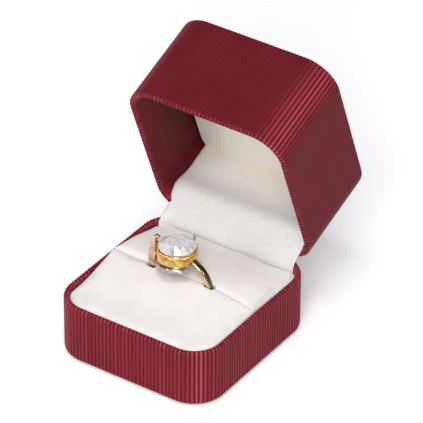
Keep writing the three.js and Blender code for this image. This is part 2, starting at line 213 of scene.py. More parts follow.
# %% Helpers for node trees
def add_node(tree, kind, inputs=None, **settings):
    """Adds a node and sets its properties and inputs. An input is a value or another node's output."""
    made = tree.nodes.new(kind)
    for key, value in settings.items():
        setattr(made, key, value)
    for key, value in (inputs or {}).items():
        if isinstance(value, bpy.types.NodeSocket):
            tree.links.new(value, made.inputs[key])
        else:
            made.inputs[key].default_value = value
    return made


def add_socket(tree, name, kind, way="INPUT", default=None):
    socket = tree.interface.new_socket(name=name, in_out=way, socket_type=kind)
    if default is not None:
        socket.default_value = default
    return socket


def maths(tree, operation, a, b=0.0):
    return add_node(tree, "ShaderNodeMath", {0: a, 1: b}, operation=operation).outputs[0]


# %% Shared shader group: fine grain
def fine_grain_group():
    """Small irregular grain. Height goes to a Bump node, and Cloud is a slow, large variation."""
    tree = bpy.data.node_groups.new("Fine grain", "ShaderNodeTree")
    add_socket(tree, "Grain Size", "NodeSocketFloat", default=0.0003)
    add_socket(tree, "Cloud Size", "NodeSocketFloat", default=0.012)
    add_socket(tree, "Height", "NodeSocketFloat", "OUTPUT")
    add_socket(tree, "Cloud", "NodeSocketFloat", "OUTPUT")
    given = add_node(tree, "NodeGroupInput").outputs
    place = add_node(tree, "ShaderNodeTexCoord").outputs["Object"]
    fine = maths(tree, "DIVIDE", 1.0, given["Grain Size"])
    slow = maths(tree, "DIVIDE", 1.0, given["Cloud Size"])
    pebbles = add_node(tree, "ShaderNodeTexVoronoi", {"Vector": place, "Scale": fine}, feature="SMOOTH_F1")
    specks = add_node(tree, "ShaderNodeTexNoise", {"Vector": place, "Scale": fine, "Detail": 3.0})
    clouds = add_node(tree, "ShaderNodeTexNoise", {"Vector": place, "Scale": slow, "Detail": 2.0})
    height = maths(tree, "ADD", pebbles.outputs["Distance"], specks.outputs["Fac"])
    add_node(tree, "NodeGroupOutput", {"Height": height, "Cloud": clouds.outputs["Fac"]})
    return tree


FINE_GRAIN = fine_grain_group()
print("group:", FINE_GRAIN.name)


# %% Shared shader group: woven threads
def threads_group():
    """Two sets of crossed threads seen in the piece's own U and V, in millimetres."""
    tree = bpy.data.node_groups.new("Woven threads", "ShaderNodeTree")
    add_socket(tree, "Thread Pitch", "NodeSocketFloat", default=0.2)
    add_socket(tree, "Height", "NodeSocketFloat", "OUTPUT")
    add_socket(tree, "Slub", "NodeSocketFloat", "OUTPUT")
    given = add_node(tree, "NodeGroupInput").outputs
    uv = add_node(tree, "ShaderNodeUVMap", uv_map="cloth").outputs["UV"]
    wobble = add_node(tree, "ShaderNodeTexNoise", {"Vector": uv, "Scale": 1.3, "Detail": 2.0})
    split = add_node(tree, "ShaderNodeSeparateXYZ", {"Vector": uv})
    turns = maths(tree, "DIVIDE", 2 * math.pi, given["Thread Pitch"])
    waves = []
    for axis in ("X", "Y"):
        shift = maths(tree, "MULTIPLY", wobble.outputs["Fac"], 0.12)
        moved = maths(tree, "ADD", split.outputs[axis], shift)
        waves.append(maths(tree, "SINE", maths(tree, "MULTIPLY", moved, turns)))
    height = maths(tree, "MULTIPLY", waves[0], waves[1])
    long_slub = add_node(tree, "ShaderNodeMapping", {"Vector": uv, "Scale": (0.6, 2.2, 1.0)})
    slub = add_node(tree, "ShaderNodeTexNoise", {"Vector": long_slub.outputs[0], "Scale": 1.0, "Detail": 3.0})
    add_node(tree, "NodeGroupOutput", {"Height": height, "Slub": slub.outputs["Fac"]})
    return tree


WOVEN_THREADS = threads_group()
print("group:", WOVEN_THREADS.name)


# %% Helpers for finishes
def new_finish(name, roughness=0.5, metallic=0.0, **constants):
    """Material with a Principled shader. Constants are set on its own sockets."""
    material = bpy.data.materials.new(name)
    material.use_nodes = True
    principled = material.node_tree.nodes["Principled BSDF"]
    principled.inputs["Roughness"].default_value = roughness
    principled.inputs["Metallic"].default_value = metallic
    for key, value in constants.items():
        principled.inputs[key.replace("_", " ")].default_value = value
    return material, material.node_tree, principled


def mixed(tree, amount, low, high):
    """Colour between low and high, each a colour or a socket."""
    mix = add_node(tree, "ShaderNodeMix", data_type="RGBA")
    for index, value in ((0, amount), (6, low), (7, high)):
        if isinstance(value, bpy.types.NodeSocket):
            tree.links.new(value, mix.inputs[index])
        elif isinstance(value, (int, float)):
            mix.inputs[index].default_value = value
        else:
            mix.inputs[index].default_value = (*value, 1)
    return mix.outputs[2]


def spread(tree, value, low, high, start=0.3, end=0.7):
    """Maps a texture's value from start..end to low..high."""
    return add_node(tree, "ShaderNodeMapRange", {0: value, 1: start, 2: end, 3: low, 4: high}).outputs[0]


def bumped(tree, principled, height, strength, distance):
    bump = add_node(tree, "ShaderNodeBump", {"Height": height, "Strength": strength, "Distance": distance})
    tree.links.new(bump.outputs["Normal"], principled.inputs["Normal"])


def shared(tree, group, **values):
    """Node of a shared group, with its inputs set."""
    made = tree.nodes.new("ShaderNodeGroup")
    made.node_tree = group
    for key, value in values.items():
        made.inputs[key.replace("_", " ")].default_value = value
    return made


def mark(tree, name):
    """Value of a named attribute of the mesh."""
    return add_node(tree, "ShaderNodeAttribute", attribute_name=name).outputs["Fac"]


# %% Finish: ribbed leatherette paper
def leatherette_finish(name, dark, light, crest, crest_highlight_and_wear, groove_shade):
    """Burgundy paper with an embossed skin. The groove attribute is 1 down in a groove and 0 on a
    crest; the grooves get painted shade. The crests are lightened towards the crest colour, a
    painted highlight that is partly rubbing. It is strongest where one attribute is 1 round a
    corner, varies with another that differs from rib to rib, and is raised where rim is 1, where
    the paper is stretched over the rim."""
    material, tree, principled = new_finish(name, IOR=1.15)
    skin = shared(tree, FINE_GRAIN, Grain_Size=0.00022, Cloud_Size=0.011)
    groove = mark(tree, "groove")
    corner_highlight_and_wear = mark(tree, "corner_highlight_and_wear")
    flank = mixed(tree, spread(tree, skin.outputs["Cloud"], 0.0, 1.0), dark, light)
    # Painted highlight, partly rubbing: the crests are lightened towards the crest colour, most round the
    # corners and over the rim.
    top = spread(tree, groove, 1.0, 0.0, 0.12, 0.5)
    by_rib = spread(tree, mark(tree, "rib_highlight_and_wear"), 0.35, 1.2, 0.0, 1.0)
    patchy = maths(tree, "MULTIPLY", spread(tree, skin.outputs["Cloud"], 0.75, 1.0), by_rib)
    highlight_and_rubbing = maths(tree, "ADD", crest_highlight_and_wear, maths(tree, "MULTIPLY", corner_highlight_and_wear, 1.0 - crest_highlight_and_wear))
    crest_lightening = maths(tree, "MULTIPLY", highlight_and_rubbing, patchy)
    on_rim = maths(tree, "MULTIPLY", mark(tree, "rim"), maths(tree, "MULTIPLY", patchy, 0.45))
    crest_lightening = maths(tree, "ADD", crest_lightening, on_rim)
    lifted = mixed(tree, maths(tree, "MULTIPLY", top, crest_lightening), flank, crest)
    # Painted shade: the grooves are darkened towards a deep burgundy, for the shade that falls between the
    # ribs.
    deep = maths(tree, "MULTIPLY", spread(tree, groove, 0.0, 1.0, 0.5, 1.0), groove_shade)
    tree.links.new(mixed(tree, deep, lifted, (0.07, 0.003, 0.007)), principled.inputs["Base Color"])
    rough = spread(tree, skin.outputs["Cloud"], 0.38, 0.48)
    duller = maths(tree, "ADD", rough, maths(tree, "MULTIPLY", groove, 0.2))
    tree.links.new(duller, principled.inputs["Roughness"])
    bumped(tree, principled, skin.outputs["Height"], 0.35, 0.00003)
    return material


# %% Finish: plain paper, moulding, card and foam
def grained_finish(name, dark, light, roughness, size, strength, distance, **constants):
    """One colour with a slow change of shade, a little variation in gloss and a fine skin."""
    material, tree, principled = new_finish(name, **constants)
    skin = shared(tree, FINE_GRAIN, Grain_Size=size, Cloud_Size=0.01)
    shade = mixed(tree, spread(tree, skin.outputs["Cloud"], 0.0, 1.0), dark, light)
    tree.links.new(shade, principled.inputs["Base Color"])
    rough = spread(tree, skin.outputs["Height"], roughness - 0.05, roughness + 0.05, 0.6, 1.4)
    tree.links.new(rough, principled.inputs["Roughness"])
    bumped(tree, principled, skin.outputs["Height"], strength, distance)
    return material


# %% Finish: velvet
def velvet_finish():
    """Short dense pile: rough, brighter where it turns away, and a little crushed in patches."""
    material, tree, principled = new_finish(
        "off-white velvet", roughness=1.0, Specular_IOR_Level=0.2, Sheen_Weight=0.35, Sheen_Roughness=0.45,
    )
    pile = shared(tree, FINE_GRAIN, Grain_Size=0.00018, Cloud_Size=0.009)
    crushed = spread(tree, pile.outputs["Cloud"], 0.0, 1.0)
    shade = mixed(tree, crushed, (0.80, 0.765, 0.745), (0.855, 0.825, 0.81))
    tree.links.new(shade, principled.inputs["Base Color"])
    bumped(tree, principled, pile.outputs["Height"], 0.5, 0.00006)
    return material


# %% Finish: satin
def satin_finish(name, dark, light):
    """Satin: fine threads, a soft gloss and faint slubs along the cloth. Where an attribute is 1 it
    is painted warmer, for the warm light that the burgundy walls inside the lid bounce onto it."""
    material, tree, principled = new_finish(name, Specular_IOR_Level=0.45, Sheen_Weight=0.15)
    cloth = shared(tree, WOVEN_THREADS, Thread_Pitch=0.26)
    shade = mixed(tree, spread(tree, cloth.outputs["Slub"], 0.0, 1.0), dark, light)
    # Painted warm light, bounced off the burgundy walls inside the lid.
    warm_lit = mixed(tree, mark(tree, "warm_bounce_light"), shade, (0.87, 0.81, 0.68))
    tree.links.new(warm_lit, principled.inputs["Base Color"])
    tree.links.new(spread(tree, cloth.outputs["Slub"], 0.38, 0.48), principled.inputs["Roughness"])
    ridges = maths(tree, "MULTIPLY", cloth.outputs["Slub"], 0.8)
    height = maths(tree, "ADD", cloth.outputs["Height"], ridges)
    bumped(tree, principled, height, 0.35, 0.00004)
    return material


# %% Finish: polished metals
def metal_finish(name, dark, bright, roughness, cloud=0.0015, scratch=0.25):
    """Polished metal with painted reflections: its colour goes dark and bright in patches, for the
    dark and bright surroundings that it reflects, with very fine rubbing marks. Where an attribute
    is 1, a dark brown reflection is painted on it."""
    material, tree, principled = new_finish(name, metallic=1.0)
    skin = shared(tree, FINE_GRAIN, Grain_Size=0.0003, Cloud_Size=cloud)
    # Painted reflection: dark and bright patches for the surroundings that the metal reflects.
    patches = mixed(tree, spread(tree, skin.outputs["Cloud"], 0.0, 1.0, 0.35, 0.65), dark, bright)
    # Painted reflection: dark brown where the attribute is 1, for the dark surroundings that the band's outer
    # face reflects.
    reflection_darkened = mixed(tree, mark(tree, "dark_reflection"), patches, (0.07, 0.045, 0.03))
    tree.links.new(reflection_darkened, principled.inputs["Base Color"])
    rough = spread(tree, skin.outputs["Height"], roughness, roughness + 0.08, 0.6, 1.4)
    tree.links.new(rough, principled.inputs["Roughness"])
    bumped(tree, principled, skin.outputs["Height"], scratch, 0.00001)
    return material


# %% Finish: clear stone
def stone_finish():
    """Clear cut stone with polished, flat facets. The facet attribute says how bright the light is
    that each facet throws back from the facets underneath."""
    material, tree, principled = new_finish(
        "clear cut stone", roughness=0.02, Transmission_Weight=0.3, IOR=1.9,
    )
    skin = shared(tree, FINE_GRAIN, Cloud_Size=0.0011)
    uneven = spread(tree, skin.outputs["Cloud"], 0.55, 1.0, 0.4, 0.56)
    glint = maths(tree, "MULTIPLY", mark(tree, "facet"), uneven)
    tint = mixed(tree, glint, (0.6, 0.52, 0.58), (1.0, 0.99, 0.99))
    tree.links.new(tint, principled.inputs["Base Color"])
    return material


# The lid's copy of the same ribbed paper is painted darker, with fainter crest highlights and groove shade:
# painted shade, as the lid's faces get less light than the base's.
BASE_LEATHERETTE = leatherette_finish(
    "ribbed paper on the base", dark=(0.14, 0.008, 0.016), light=(0.17, 0.01, 0.021),
    crest=(0.38, 0.07, 0.1), crest_highlight_and_wear=0.3, groove_shade=0.4,
)
LID_LEATHERETTE = leatherette_finish(
    "ribbed paper on the lid", dark=(0.12, 0.008, 0.0145), light=(0.138, 0.01, 0.0185),
    crest=(0.4, 0.06, 0.09), crest_highlight_and_wear=0.04, groove_shade=0.16,
)
SMOOTH_PAPER = grained_finish(
    "smooth burgundy paper", dark=(0.1, 0.009, 0.016), light=(0.14, 0.014, 0.023),
    roughness=0.5, size=0.0003, strength=0.3, distance=0.00003, Specular_IOR_Level=0.25,
)
MOULDING = grained_finish(
    "smooth inner wall", dark=(0.1, 0.007, 0.013), light=(0.125, 0.009, 0.017),
    roughness=0.5, size=0.0004, strength=0.2, distance=0.00002, Specular_IOR_Level=0.2,
)
CARD = grained_finish(
    "grey card", dark=(0.5, 0.45, 0.37), light=(0.6, 0.55, 0.46),
    roughness=0.9, size=0.0006, strength=0.5, distance=0.00006,
)
FOAM = grained_finish(
    "open foam", dark=(0.7, 0.67, 0.58), light=(0.8, 0.78, 0.7),
    roughness=0.95, size=0.0009, strength=1.0, distance=0.0003,
)
VELVET = velvet_finish()
# The roof's satin is a lighter, warmer copy of the apron's: painted light, lighter to make up for the shade
# in the lid and warmer for the light that its burgundy walls bounce onto it.
WHITE_SATIN = satin_finish("white satin", (0.74, 0.735, 0.73), (0.84, 0.835, 0.83))
ROOF_SATIN_LIT_WARM = satin_finish("cream satin", (0.88, 0.83, 0.76), (0.92, 0.88, 0.81))
GOLD = metal_finish("rose-yellow gold", (0.5, 0.32, 0.2), (0.88, 0.68, 0.44), 0.16, 0.003)
YELLOW_GOLD = metal_finish("deep yellow gold", (0.5, 0.27, 0.07), (0.98, 0.7, 0.25), 0.16, 0.0018)
WHITE_GOLD = metal_finish("white gold", (0.36, 0.31, 0.28), (0.86, 0.83, 0.81), 0.16, 0.0016)
HINGE_STEEL = metal_finish("plated steel", (0.5, 0.5, 0.52), (0.62, 0.62, 0.64), 0.25, 0.004, 0.5)
STONE = stone_finish()
print("finishes:", len([m for m in bpy.data.materials if m.use_nodes]))

# %% [markdown]
# Everything that runs round the box has the same plan: a rectangle with rounded corners. One
# helper gives that outline at any inset, and another joins a run of loops into a closed skin.

# %% Outline and skin helpers
def arc_points(cx, cy, radius, start, end, steps):
    """Points of an arc, its angles in degrees."""
    angles = np.radians(np.linspace(start, end, steps + 1))
    return [(cx + radius * math.cos(a), cy + radius * math.sin(a)) for a in angles]


def plan_outline(inset, corner_steps=14, side_steps=1):
    """Rounded rectangle, counter-clockwise, as (x, y) points."""
    radius = max(CORNER - inset, 0.3 * MM)
    x, y = WIDTH / 2 - inset - radius, DEPTH / 2 - inset - radius
    points = []
    for quarter, (cx, cy) in enumerate(((x, y), (-x, y), (-x, -y), (x, -y))):
        corner = arc_points(cx, cy, radius, 90 * quarter, 90 * quarter + 90, corner_steps)
        if points and side_steps > 1:
            points += [tuple(p) for p in np.linspace(points[-1], corner[0], side_steps + 1)[1:-1]]
        points += corner
    if side_steps > 1:
        points += [tuple(p) for p in np.linspace(points[-1], points[0], side_steps + 1)[1:-1]]
    return points


def stacked(levels, corner_steps, side_steps=1):
    """Loops of the plan, one at each (inset, z)."""
    return [[(x, y, z) for x, y in plan_outline(i, corner_steps, side_steps)] for i, z in levels]


def new_object(name, verts, faces, finish, smooth=True):
    mesh = bpy.data.meshes.new(name)
    mesh.from_pydata([tuple(v) for v in verts], [], faces)
    made = linked(name, mesh)
    mesh.materials.append(finish)
    face_outwards(made)
    if smooth:
        mesh.shade_smooth()
    return made


def face_outwards(piece):
    edit = bmesh.new()
    edit.from_mesh(piece.data)
    bmesh.ops.remove_doubles(edit, verts=edit.verts, dist=1e-7)
    bmesh.ops.recalc_face_normals(edit, faces=edit.faces)
    if edit.calc_volume(signed=True) < 0:
        bmesh.ops.reverse_faces(edit, faces=edit.faces)
    edit.to_mesh(piece.data)
    edit.free()


def skin_faces(rows, count, closed):
    """Quads between neighbouring loops of count points. A closed run joins its last loop to its first."""
    faces = []
    for i in range(rows if closed else rows - 1):
        low, high = i * count, ((i + 1) % rows) * count
        for j in range(count):
            after = (j + 1) % count
            faces.append((low + j, low + after, high + after, high + j))
    return faces


def add_skin(name, loops, finish, closed=False, smooth=True):
    """Closed body through a run of equal loops. An open run is capped with a fan at each end."""
    count = len(loops[0])
    verts = [p for loop in loops for p in loop]
    faces = skin_faces(len(loops), count, closed)
    if not closed:
        for loop, start in ((loops[0], 0), (loops[-1], (len(loops) - 1) * count)):
            verts.append(np.mean(np.array(loop), axis=0))
            hub = len(verts) - 1
            faces += [(hub, start + j, start + (j + 1) % count) for j in range(count)]
    return new_object(name, verts, faces, finish, smooth)


def turn_open(piece):
    """Turns a piece that was built with the lid shut to where it stands at rest."""
    piece.data.transform(OPENING)
    return piece


def turn_over(piece, height):
    """Turns a tray upside down, so that its closed end is at the given height."""
    piece.data.transform(Matrix.Translation((0, 0, height)) @ Matrix.Rotation(math.pi, 4, "X"))
    return piece


print("outline has", len(plan_outline(0)), "points")

# %% [markdown]
# The covering is what gives the box its character: paper with close upright ribs, wrapped round
# the tray, rolled over the rim and glued down inside. Modelling each rib by hand would be slow,
# and a bump would leave the rim smooth. So Geometry Nodes sweep the wall's profile round the plan,
# with a whole number of steps to each rib, and press a groove between every two ribs. The ribs
# then run over the rolled rim as they do on the real paper.

# %% Geometry Nodes: ribbed covering
def stored(tree, geometry, name, value):
    """The geometry with a number stored at each of its points."""
    inputs = {"Geometry": geometry, "Name": name, "Value": value}
    kind = "GeometryNodeStoreNamedAttribute"
    return add_node(tree, kind, inputs, data_type="FLOAT", domain="POINT").outputs[0]


def read_back(tree, name):
    """A number that was stored at each point."""
    return add_node(tree, "GeometryNodeInputNamedAttribute", {"Name": name}, data_type="FLOAT").outputs[0]


def ribbed_covering_tree():
    """Sweeps the wall's profile round the plan and presses a groove between every two ribs."""
    tree = bpy.data.node_groups.new("Ribbed covering", "GeometryNodeTree")
    for name, kind in (
        ("Wall Profile", "Geometry"), ("Width", "Float"), ("Depth", "Float"), ("Corner Radius", "Float"),
        ("Ribs", "Int"), ("Steps per Rib", "Int"), ("Groove Depth", "Float"), ("Finish", "Material"),
    ):
        add_socket(tree, name, "NodeSocket" + kind)
    add_socket(tree, "Covering", "NodeSocketGeometry", "OUTPUT")
    given = add_node(tree, "NodeGroupInput").outputs

    # The plan, with a whole number of steps to each rib
    sides = {"Width": given["Width"], "Height": given["Depth"]}
    plan = add_node(tree, "GeometryNodeCurvePrimitiveQuadrilateral", sides).outputs[0]
    bends = {"Curve": plan, "Count": 24, "Radius": given["Corner Radius"]}
    rounded = add_node(tree, "GeometryNodeFilletCurve", bends, mode="POLY").outputs[0]
    steps = maths(tree, "MULTIPLY", given["Ribs"], given["Steps per Rib"])
    even = add_node(tree, "GeometryNodeResampleCurve", {"Curve": rounded, "Count": steps}).outputs[0]
    curve = add_node(tree, "GeometryNodeSetCurveNormal", {"Curve": even}, mode="Z_UP").outputs[0]

    # How deep the groove is at each step: 0 in the middle of a rib and 1 between two ribs
    index = add_node(tree, "GeometryNodeInputIndex").outputs[0]
    ribs_on = maths(tree, "DIVIDE", index, given["Steps per Rib"])
    phase = maths(tree, "MULTIPLY", maths(tree, "FRACT", ribs_on), 2.0)
    middle = maths(tree, "ABSOLUTE", maths(tree, "SUBTRACT", phase, 1.0))
    curve = stored(tree, curve, "groove", maths(tree, "POWER", middle, GROOVE_SHARPNESS))

    # Where the plan turns a corner, and how strongly each rib's crest gets painted highlight and rubbing
    tangent = {0: add_node(tree, "GeometryNodeInputTangent").outputs[0]}
    heading = add_node(tree, "ShaderNodeVectorMath", tangent, operation="ABSOLUTE").outputs[0]
    split = add_node(tree, "ShaderNodeSeparateXYZ", {0: heading})
    straight = maths(tree, "MAXIMUM", split.outputs[0], split.outputs[1])
    rounding = add_node(tree, "ShaderNodeMapRange", {0: straight, 1: 1.0, 2: 0.78}).outputs[0]
    curve = stored(tree, curve, "corner_highlight_and_wear", rounding)
    draw = {"ID": maths(tree, "FLOOR", ribs_on), "Seed": 5}
    crest_highlight_and_wear = add_node(tree, "FunctionNodeRandomValue", draw, data_type="FLOAT").outputs[1]
    curve = stored(tree, curve, "rib_highlight_and_wear", crest_highlight_and_wear)

    # The sweep, with its grooves pressed in where the profile says so
    profile = add_node(tree, "GeometryNodeMeshToCurve", {"Mesh": given["Wall Profile"]}).outputs[0]
    swept = add_node(tree, "GeometryNodeCurveToMesh", {"Curve": curve, "Profile Curve": profile}).outputs[0]
    depth = maths(tree, "MULTIPLY", read_back(tree, "groove"), read_back(tree, "pressed"))
    shaded = stored(tree, swept, "groove", depth)
    inwards = maths(tree, "MULTIPLY", maths(tree, "MULTIPLY", depth, given["Groove Depth"]), -1.0)
    push = {0: add_node(tree, "GeometryNodeInputNormal").outputs[0], "Scale": inwards}
    offset = add_node(tree, "ShaderNodeVectorMath", push, operation="SCALE").outputs[0]
    pressed = add_node(tree, "GeometryNodeSetPosition", {"Geometry": shaded, "Offset": offset}).outputs[0]
    real = add_node(tree, "GeometryNodeRealizeInstances", {"Geometry": pressed}).outputs[0]
    dressed = {"Geometry": real, "Material": given["Finish"]}
    painted = add_node(tree, "GeometryNodeSetMaterial", dressed).outputs[0]
    add_node(tree, "NodeGroupOutput", {"Covering": painted})
    return tree


def set_inputs(modifier, values):
    """Sets a Geometry Nodes modifier's inputs, found by name and written by identifier."""
    sockets = {s.name: s.identifier for s in modifier.node_group.interface.items_tree if s.in_out == "INPUT"}
    for name, value in values.items():
        modifier[sockets[name]] = value


def made_plain(carrier, name, finish):
    """The evaluated result of a carrier's modifiers as a plain mesh object. The carrier is removed."""
    graph = bpy.context.evaluated_depsgraph_get()
    mesh = bpy.data.meshes.new_from_object(carrier.evaluated_get(graph))
    bpy.data.objects.remove(carrier)
    made = linked(name, mesh)
    mesh.materials.clear()
    mesh.materials.append(finish)
    return made


RIBBED_COVERING = ribbed_covering_tree()
print("tree:", RIBBED_COVERING.name, "with", len(RIBBED_COVERING.nodes), "nodes")


# %% The wall's profile
def wall_profile(height, edge, turn_in):
    """Cross-section of the covering, as (inset, z, pressed): under the edge, up, over the rim and
    down inside, then back along its glued face. pressed says how deep the ribs are there."""
    under = 5 * MM
    low = 0.4 * MM
    roll = RIM / 2
    points = [(under, low, 0.0), (edge + 1 * MM, low, 0.0)]
    bottom = arc_points(edge, edge + low, edge, 270, 180, 6)
    points += [(i, z, k / 6) for k, (i, z) in enumerate(bottom)]
    points += [(0.0, z, 1.0) for z in np.linspace(edge + low, height - roll, 8)[1:-1]]
    rim = arc_points(roll, height - roll, roll, 180, 0, 12)
    points += [(i, z, 1.0 if k < 8 else (12 - k) / 4) for k, (i, z) in enumerate(rim)]
    points += [(RIM, height - turn_in, 0.0), (RIM - PAPER, height - turn_in, 0.0)]
    points += [(i, z, 0.0) for i, z in arc_points(roll, height - roll, roll - PAPER, 0, 180, 8)]
    points += [(i, z, 0.0) for i, z in arc_points(edge, edge + low, edge - PAPER, 180, 270, 4)]
    points += [(under, low + PAPER, 0.0)]
    return points


def ribbed_covering(name, height, edge, turn_in, groove_depth, finish):
    """Covering of a tray that stands on z = 0 with its rim at the given height."""
    profile = wall_profile(height, edge, turn_in)[::-1]
    mesh = bpy.data.meshes.new(name + "_profile")
    count = len(profile)
    edges = [(k, (k + 1) % count) for k in range(count)]
    mesh.from_pydata([(-inset, -z, 0) for inset, z, _ in profile], edges, [])
    set_mark(mesh, "pressed", [p[2] for p in profile])
    # The finish paints more highlight, partly rubbing, on the crests where the paper runs over the rim.
    on_rim = [1.0 if p[2] > 0 and p[1] > height - RIM / 2 else 0.0 for p in profile]
    set_mark(mesh, "rim", on_rim)
    carrier = linked(name + "_profile", mesh)
    modifier = carrier.modifiers.new("ribs", "NODES")
    modifier.node_group = RIBBED_COVERING
    around = 2 * (WIDTH + DEPTH) - (8 - 2 * math.pi) * CORNER
    set_inputs(modifier, {
        "Width": WIDTH, "Depth": DEPTH, "Corner Radius": CORNER, "Ribs": round(around / RIB_PITCH),
        "Steps per Rib": STEPS_PER_RIB, "Groove Depth": groove_depth, "Finish": finish,
    })
    made = made_plain(carrier, name, finish)
    face_outwards(made)
    made.data.shade_smooth()
    return made


def make_room_for_hinge(piece, side, height):
    """Presses the rim back from the hinge's barrel, to the notch's radius from the axis."""
    notch = 1.15 * MM
    half_width = 14.5 * MM
    ease = 0.6 * MM
    axis_y, axis_z = side * AXIS.y, height + AXIS.z - BASE_TOP
    for v in piece.data.vertices:
        reach = notch * clamped((half_width - abs(v.co.x)) / ease)
        away = Vector((v.co.y - axis_y, v.co.z - axis_z))
        if 1e-9 < away.length < reach:
            away *= reach / away.length
            v.co.y, v.co.z = axis_y + away.x, axis_z + away.y
    piece.data.update()


# %% Coverings of base and lid
BASE_EDGE = 1.4 * MM
LID_EDGE = 1.4 * MM
base_covering = ribbed_covering(
    "ribbed_base_covering", BASE_TOP, BASE_EDGE,
    turn_in=5 * MM, groove_depth=0.16 * MM, finish=BASE_LEATHERETTE,
)
make_room_for_hinge(base_covering, 1, BASE_TOP)
roof_depth = shut_box("roof_lining")[0].z - LID_RIM
lid_covering = ribbed_covering(
    "ribbed_lid_covering", LID_TOP - LID_RIM, LID_EDGE,
    turn_in=roof_depth, groove_depth=0.08 * MM, finish=LID_LEATHERETTE,
)
make_room_for_hinge(lid_covering, -1, LID_TOP - LID_RIM)
turn_open(turn_over(lid_covering, LID_TOP))
for piece, body, node in ((base_covering, "base", "base_wrap"), (lid_covering, "lid", "lid_wrap")):
    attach(piece, body)
    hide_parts(node)
    print(piece.name, len(piece.data.polygons), "faces")

# %% [markdown]
# Inside the covering is a moulded tray. On the lid its smooth dark wall shows all round the
# lining, and on the base a little of it shows at the back corners. It is a plain turned-up dish,
# so a skin through a few rounded outlines is all it needs, cut where the hinge's barrel turns.

# %% Moulded trays
def moulded_tray(name, height, edge, side):
    """Open tray on z = 0. side is 1 where the hinge is at the back, and -1 for the lid's tray, which
    is built upside down with the hinge in front."""
    cover = 0.4 * MM
    roll = RIM / 2
    inner = RIM - cover
    floor_low, floor_high = 0.8 * MM, 1.9 * MM
    fillet = 1.2 * MM
    profile = arc_points(edge, edge + cover, edge - cover, 270, 180, 5)
    profile += arc_points(roll, height - roll, roll - cover, 180, 0, 8)
    profile += [(inner, height * 0.6)]
    profile += arc_points(inner + fillet, floor_high + fillet, fillet, 180, 270, 5)
    profile = [(edge + 2 * MM, floor_low)] + profile
    tray = add_skin(name, stacked(profile, 12, 40), MOULDING)
    make_room_for_hinge(tray, side, height)
    return tray


base_tray = moulded_tray("base_tray", BASE_TOP, BASE_EDGE, 1)
lid_tray = moulded_tray("lid_tray", LID_TOP - LID_RIM, LID_EDGE, -1)
turn_open(turn_over(lid_tray, LID_TOP))
for piece, body, node in ((base_tray, "base", "base_shell"), (lid_tray, "lid", "lid_shell")):
    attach(piece, body)
    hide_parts(node)
    print(piece.name, len(piece.data.polygons), "faces")

# %% [markdown]
# A flat panel closes each end. The lid's is cut from the same ribbed paper, with the ribs running
# front to back; the base's is smooth. Both are thin plates with a soft edge.

# %% End panels
def half_length(x, inset):
    """Half of the panel's front-to-back length at x."""
    radius = CORNER - inset
    straight = WIDTH / 2 - inset - radius
    beyond = max(0.0, abs(x) - straight)
    return DEPTH / 2 - inset - radius + math.sqrt(max(0.0, radius ** 2 - beyond ** 2))


def ribbed_panel(name, inset, thickness, groove_depth, finish):
    """Panel on z = 0 whose upper face has grooves along Y."""
    half = WIDTH / 2 - inset
    columns = 2 * round(half / RIB_PITCH) * STEPS_PER_RIB
    verts, marks, rows = [], [], 9
    for k in range(columns + 1):
        x = -half + 2 * half * k / columns
        reach = max(half_length(x, inset), 0.2 * MM)
        groove = abs(2 * ((x / RIB_PITCH) % 1.0) - 1) ** GROOVE_SHARPNESS
        for face in (1, 0):
            for j in range(rows):
                t = -1 + 2 * j / (rows - 1)
                at_end = abs(t) == 1
                ease = 0.12 * MM * (1 - face) if at_end else 0.0
                sunk = 0.1 * MM if at_end else groove_depth * groove
                z = thickness - sunk if face else 0.0
                verts.append((x, t * (reach - ease), z))
                marks.append(groove * face)
    faces = []
    strip = 2 * rows
    for k in range(columns):
        a, b = k * strip, (k + 1) * strip
        for j in range(rows - 1):
            faces.append((a + j, b + j, b + j + 1, a + j + 1))
            faces.append((a + rows + j, a + rows + j + 1, b + rows + j + 1, b + rows + j))
        faces.append((a, a + rows, b + rows, b))
        faces.append((a + rows - 1, b + rows - 1, b + 2 * rows - 1, a + 2 * rows - 1))
    for a in (0, columns * strip):
        faces += [(a + j, a + j + 1, a + rows + j + 1, a + rows + j) for j in range(rows - 1)]
    mesh = bpy.data.meshes.new(name)
    mesh.from_pydata(verts, [], faces)
    set_mark(mesh, "groove", marks)
    made = linked(name, mesh)
    mesh.materials.append(finish)
    face_outwards(made)
    mesh.shade_smooth()
    return made


def plain_panel(name, inset, thickness, finish):
    """Panel on z = 0 with eased edges."""
    ease = thickness / 3
    steps = [(inset + ease, 0), (inset, ease), (inset, thickness - ease), (inset + ease, thickness)]
    return add_skin(name, stacked(steps, 12), finish, smooth=False)


lid_panel = ribbed_panel("ribbed_lid_panel", LID_EDGE + 0.6 * MM, PAPER, 0.1 * MM, LID_LEATHERETTE)
lid_panel.data.transform(Matrix.Translation((0, 0, LID_TOP - PAPER)))
turn_open(lid_panel)
base_panel = plain_panel("smooth_base_panel", 1.8 * MM, PAPER, SMOOTH_PAPER)
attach(lid_panel, "lid")
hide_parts("lid_top_sheet")
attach(base_panel, "base")
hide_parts("underside_sheet")
print("panels:", len(lid_panel.data.polygons), "and", len(base_panel.data.polygons), "faces")

# %% [markdown]
# The cushion is two blocks of foam wrapped in velvet and pushed in side by side. The slot for the
# ring is only the fold where they meet. A block with crisp edges would look like plastic, so each
# pad is cut a little small, remeshed, and blown up gently as cloth. The simulation's tolerances
# suit garments, so it runs at twenty times the size and the result is brought back.

# %% Pad blanks
PAD_LOW, PAD_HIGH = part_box("front_pad")
REAR_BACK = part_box("rear_pad")[1].y
PAD_TOP = PAD_HIGH.z
WALL_CLEAR = RIM + 0.03 * MM
SLIT = 0.03 * MM


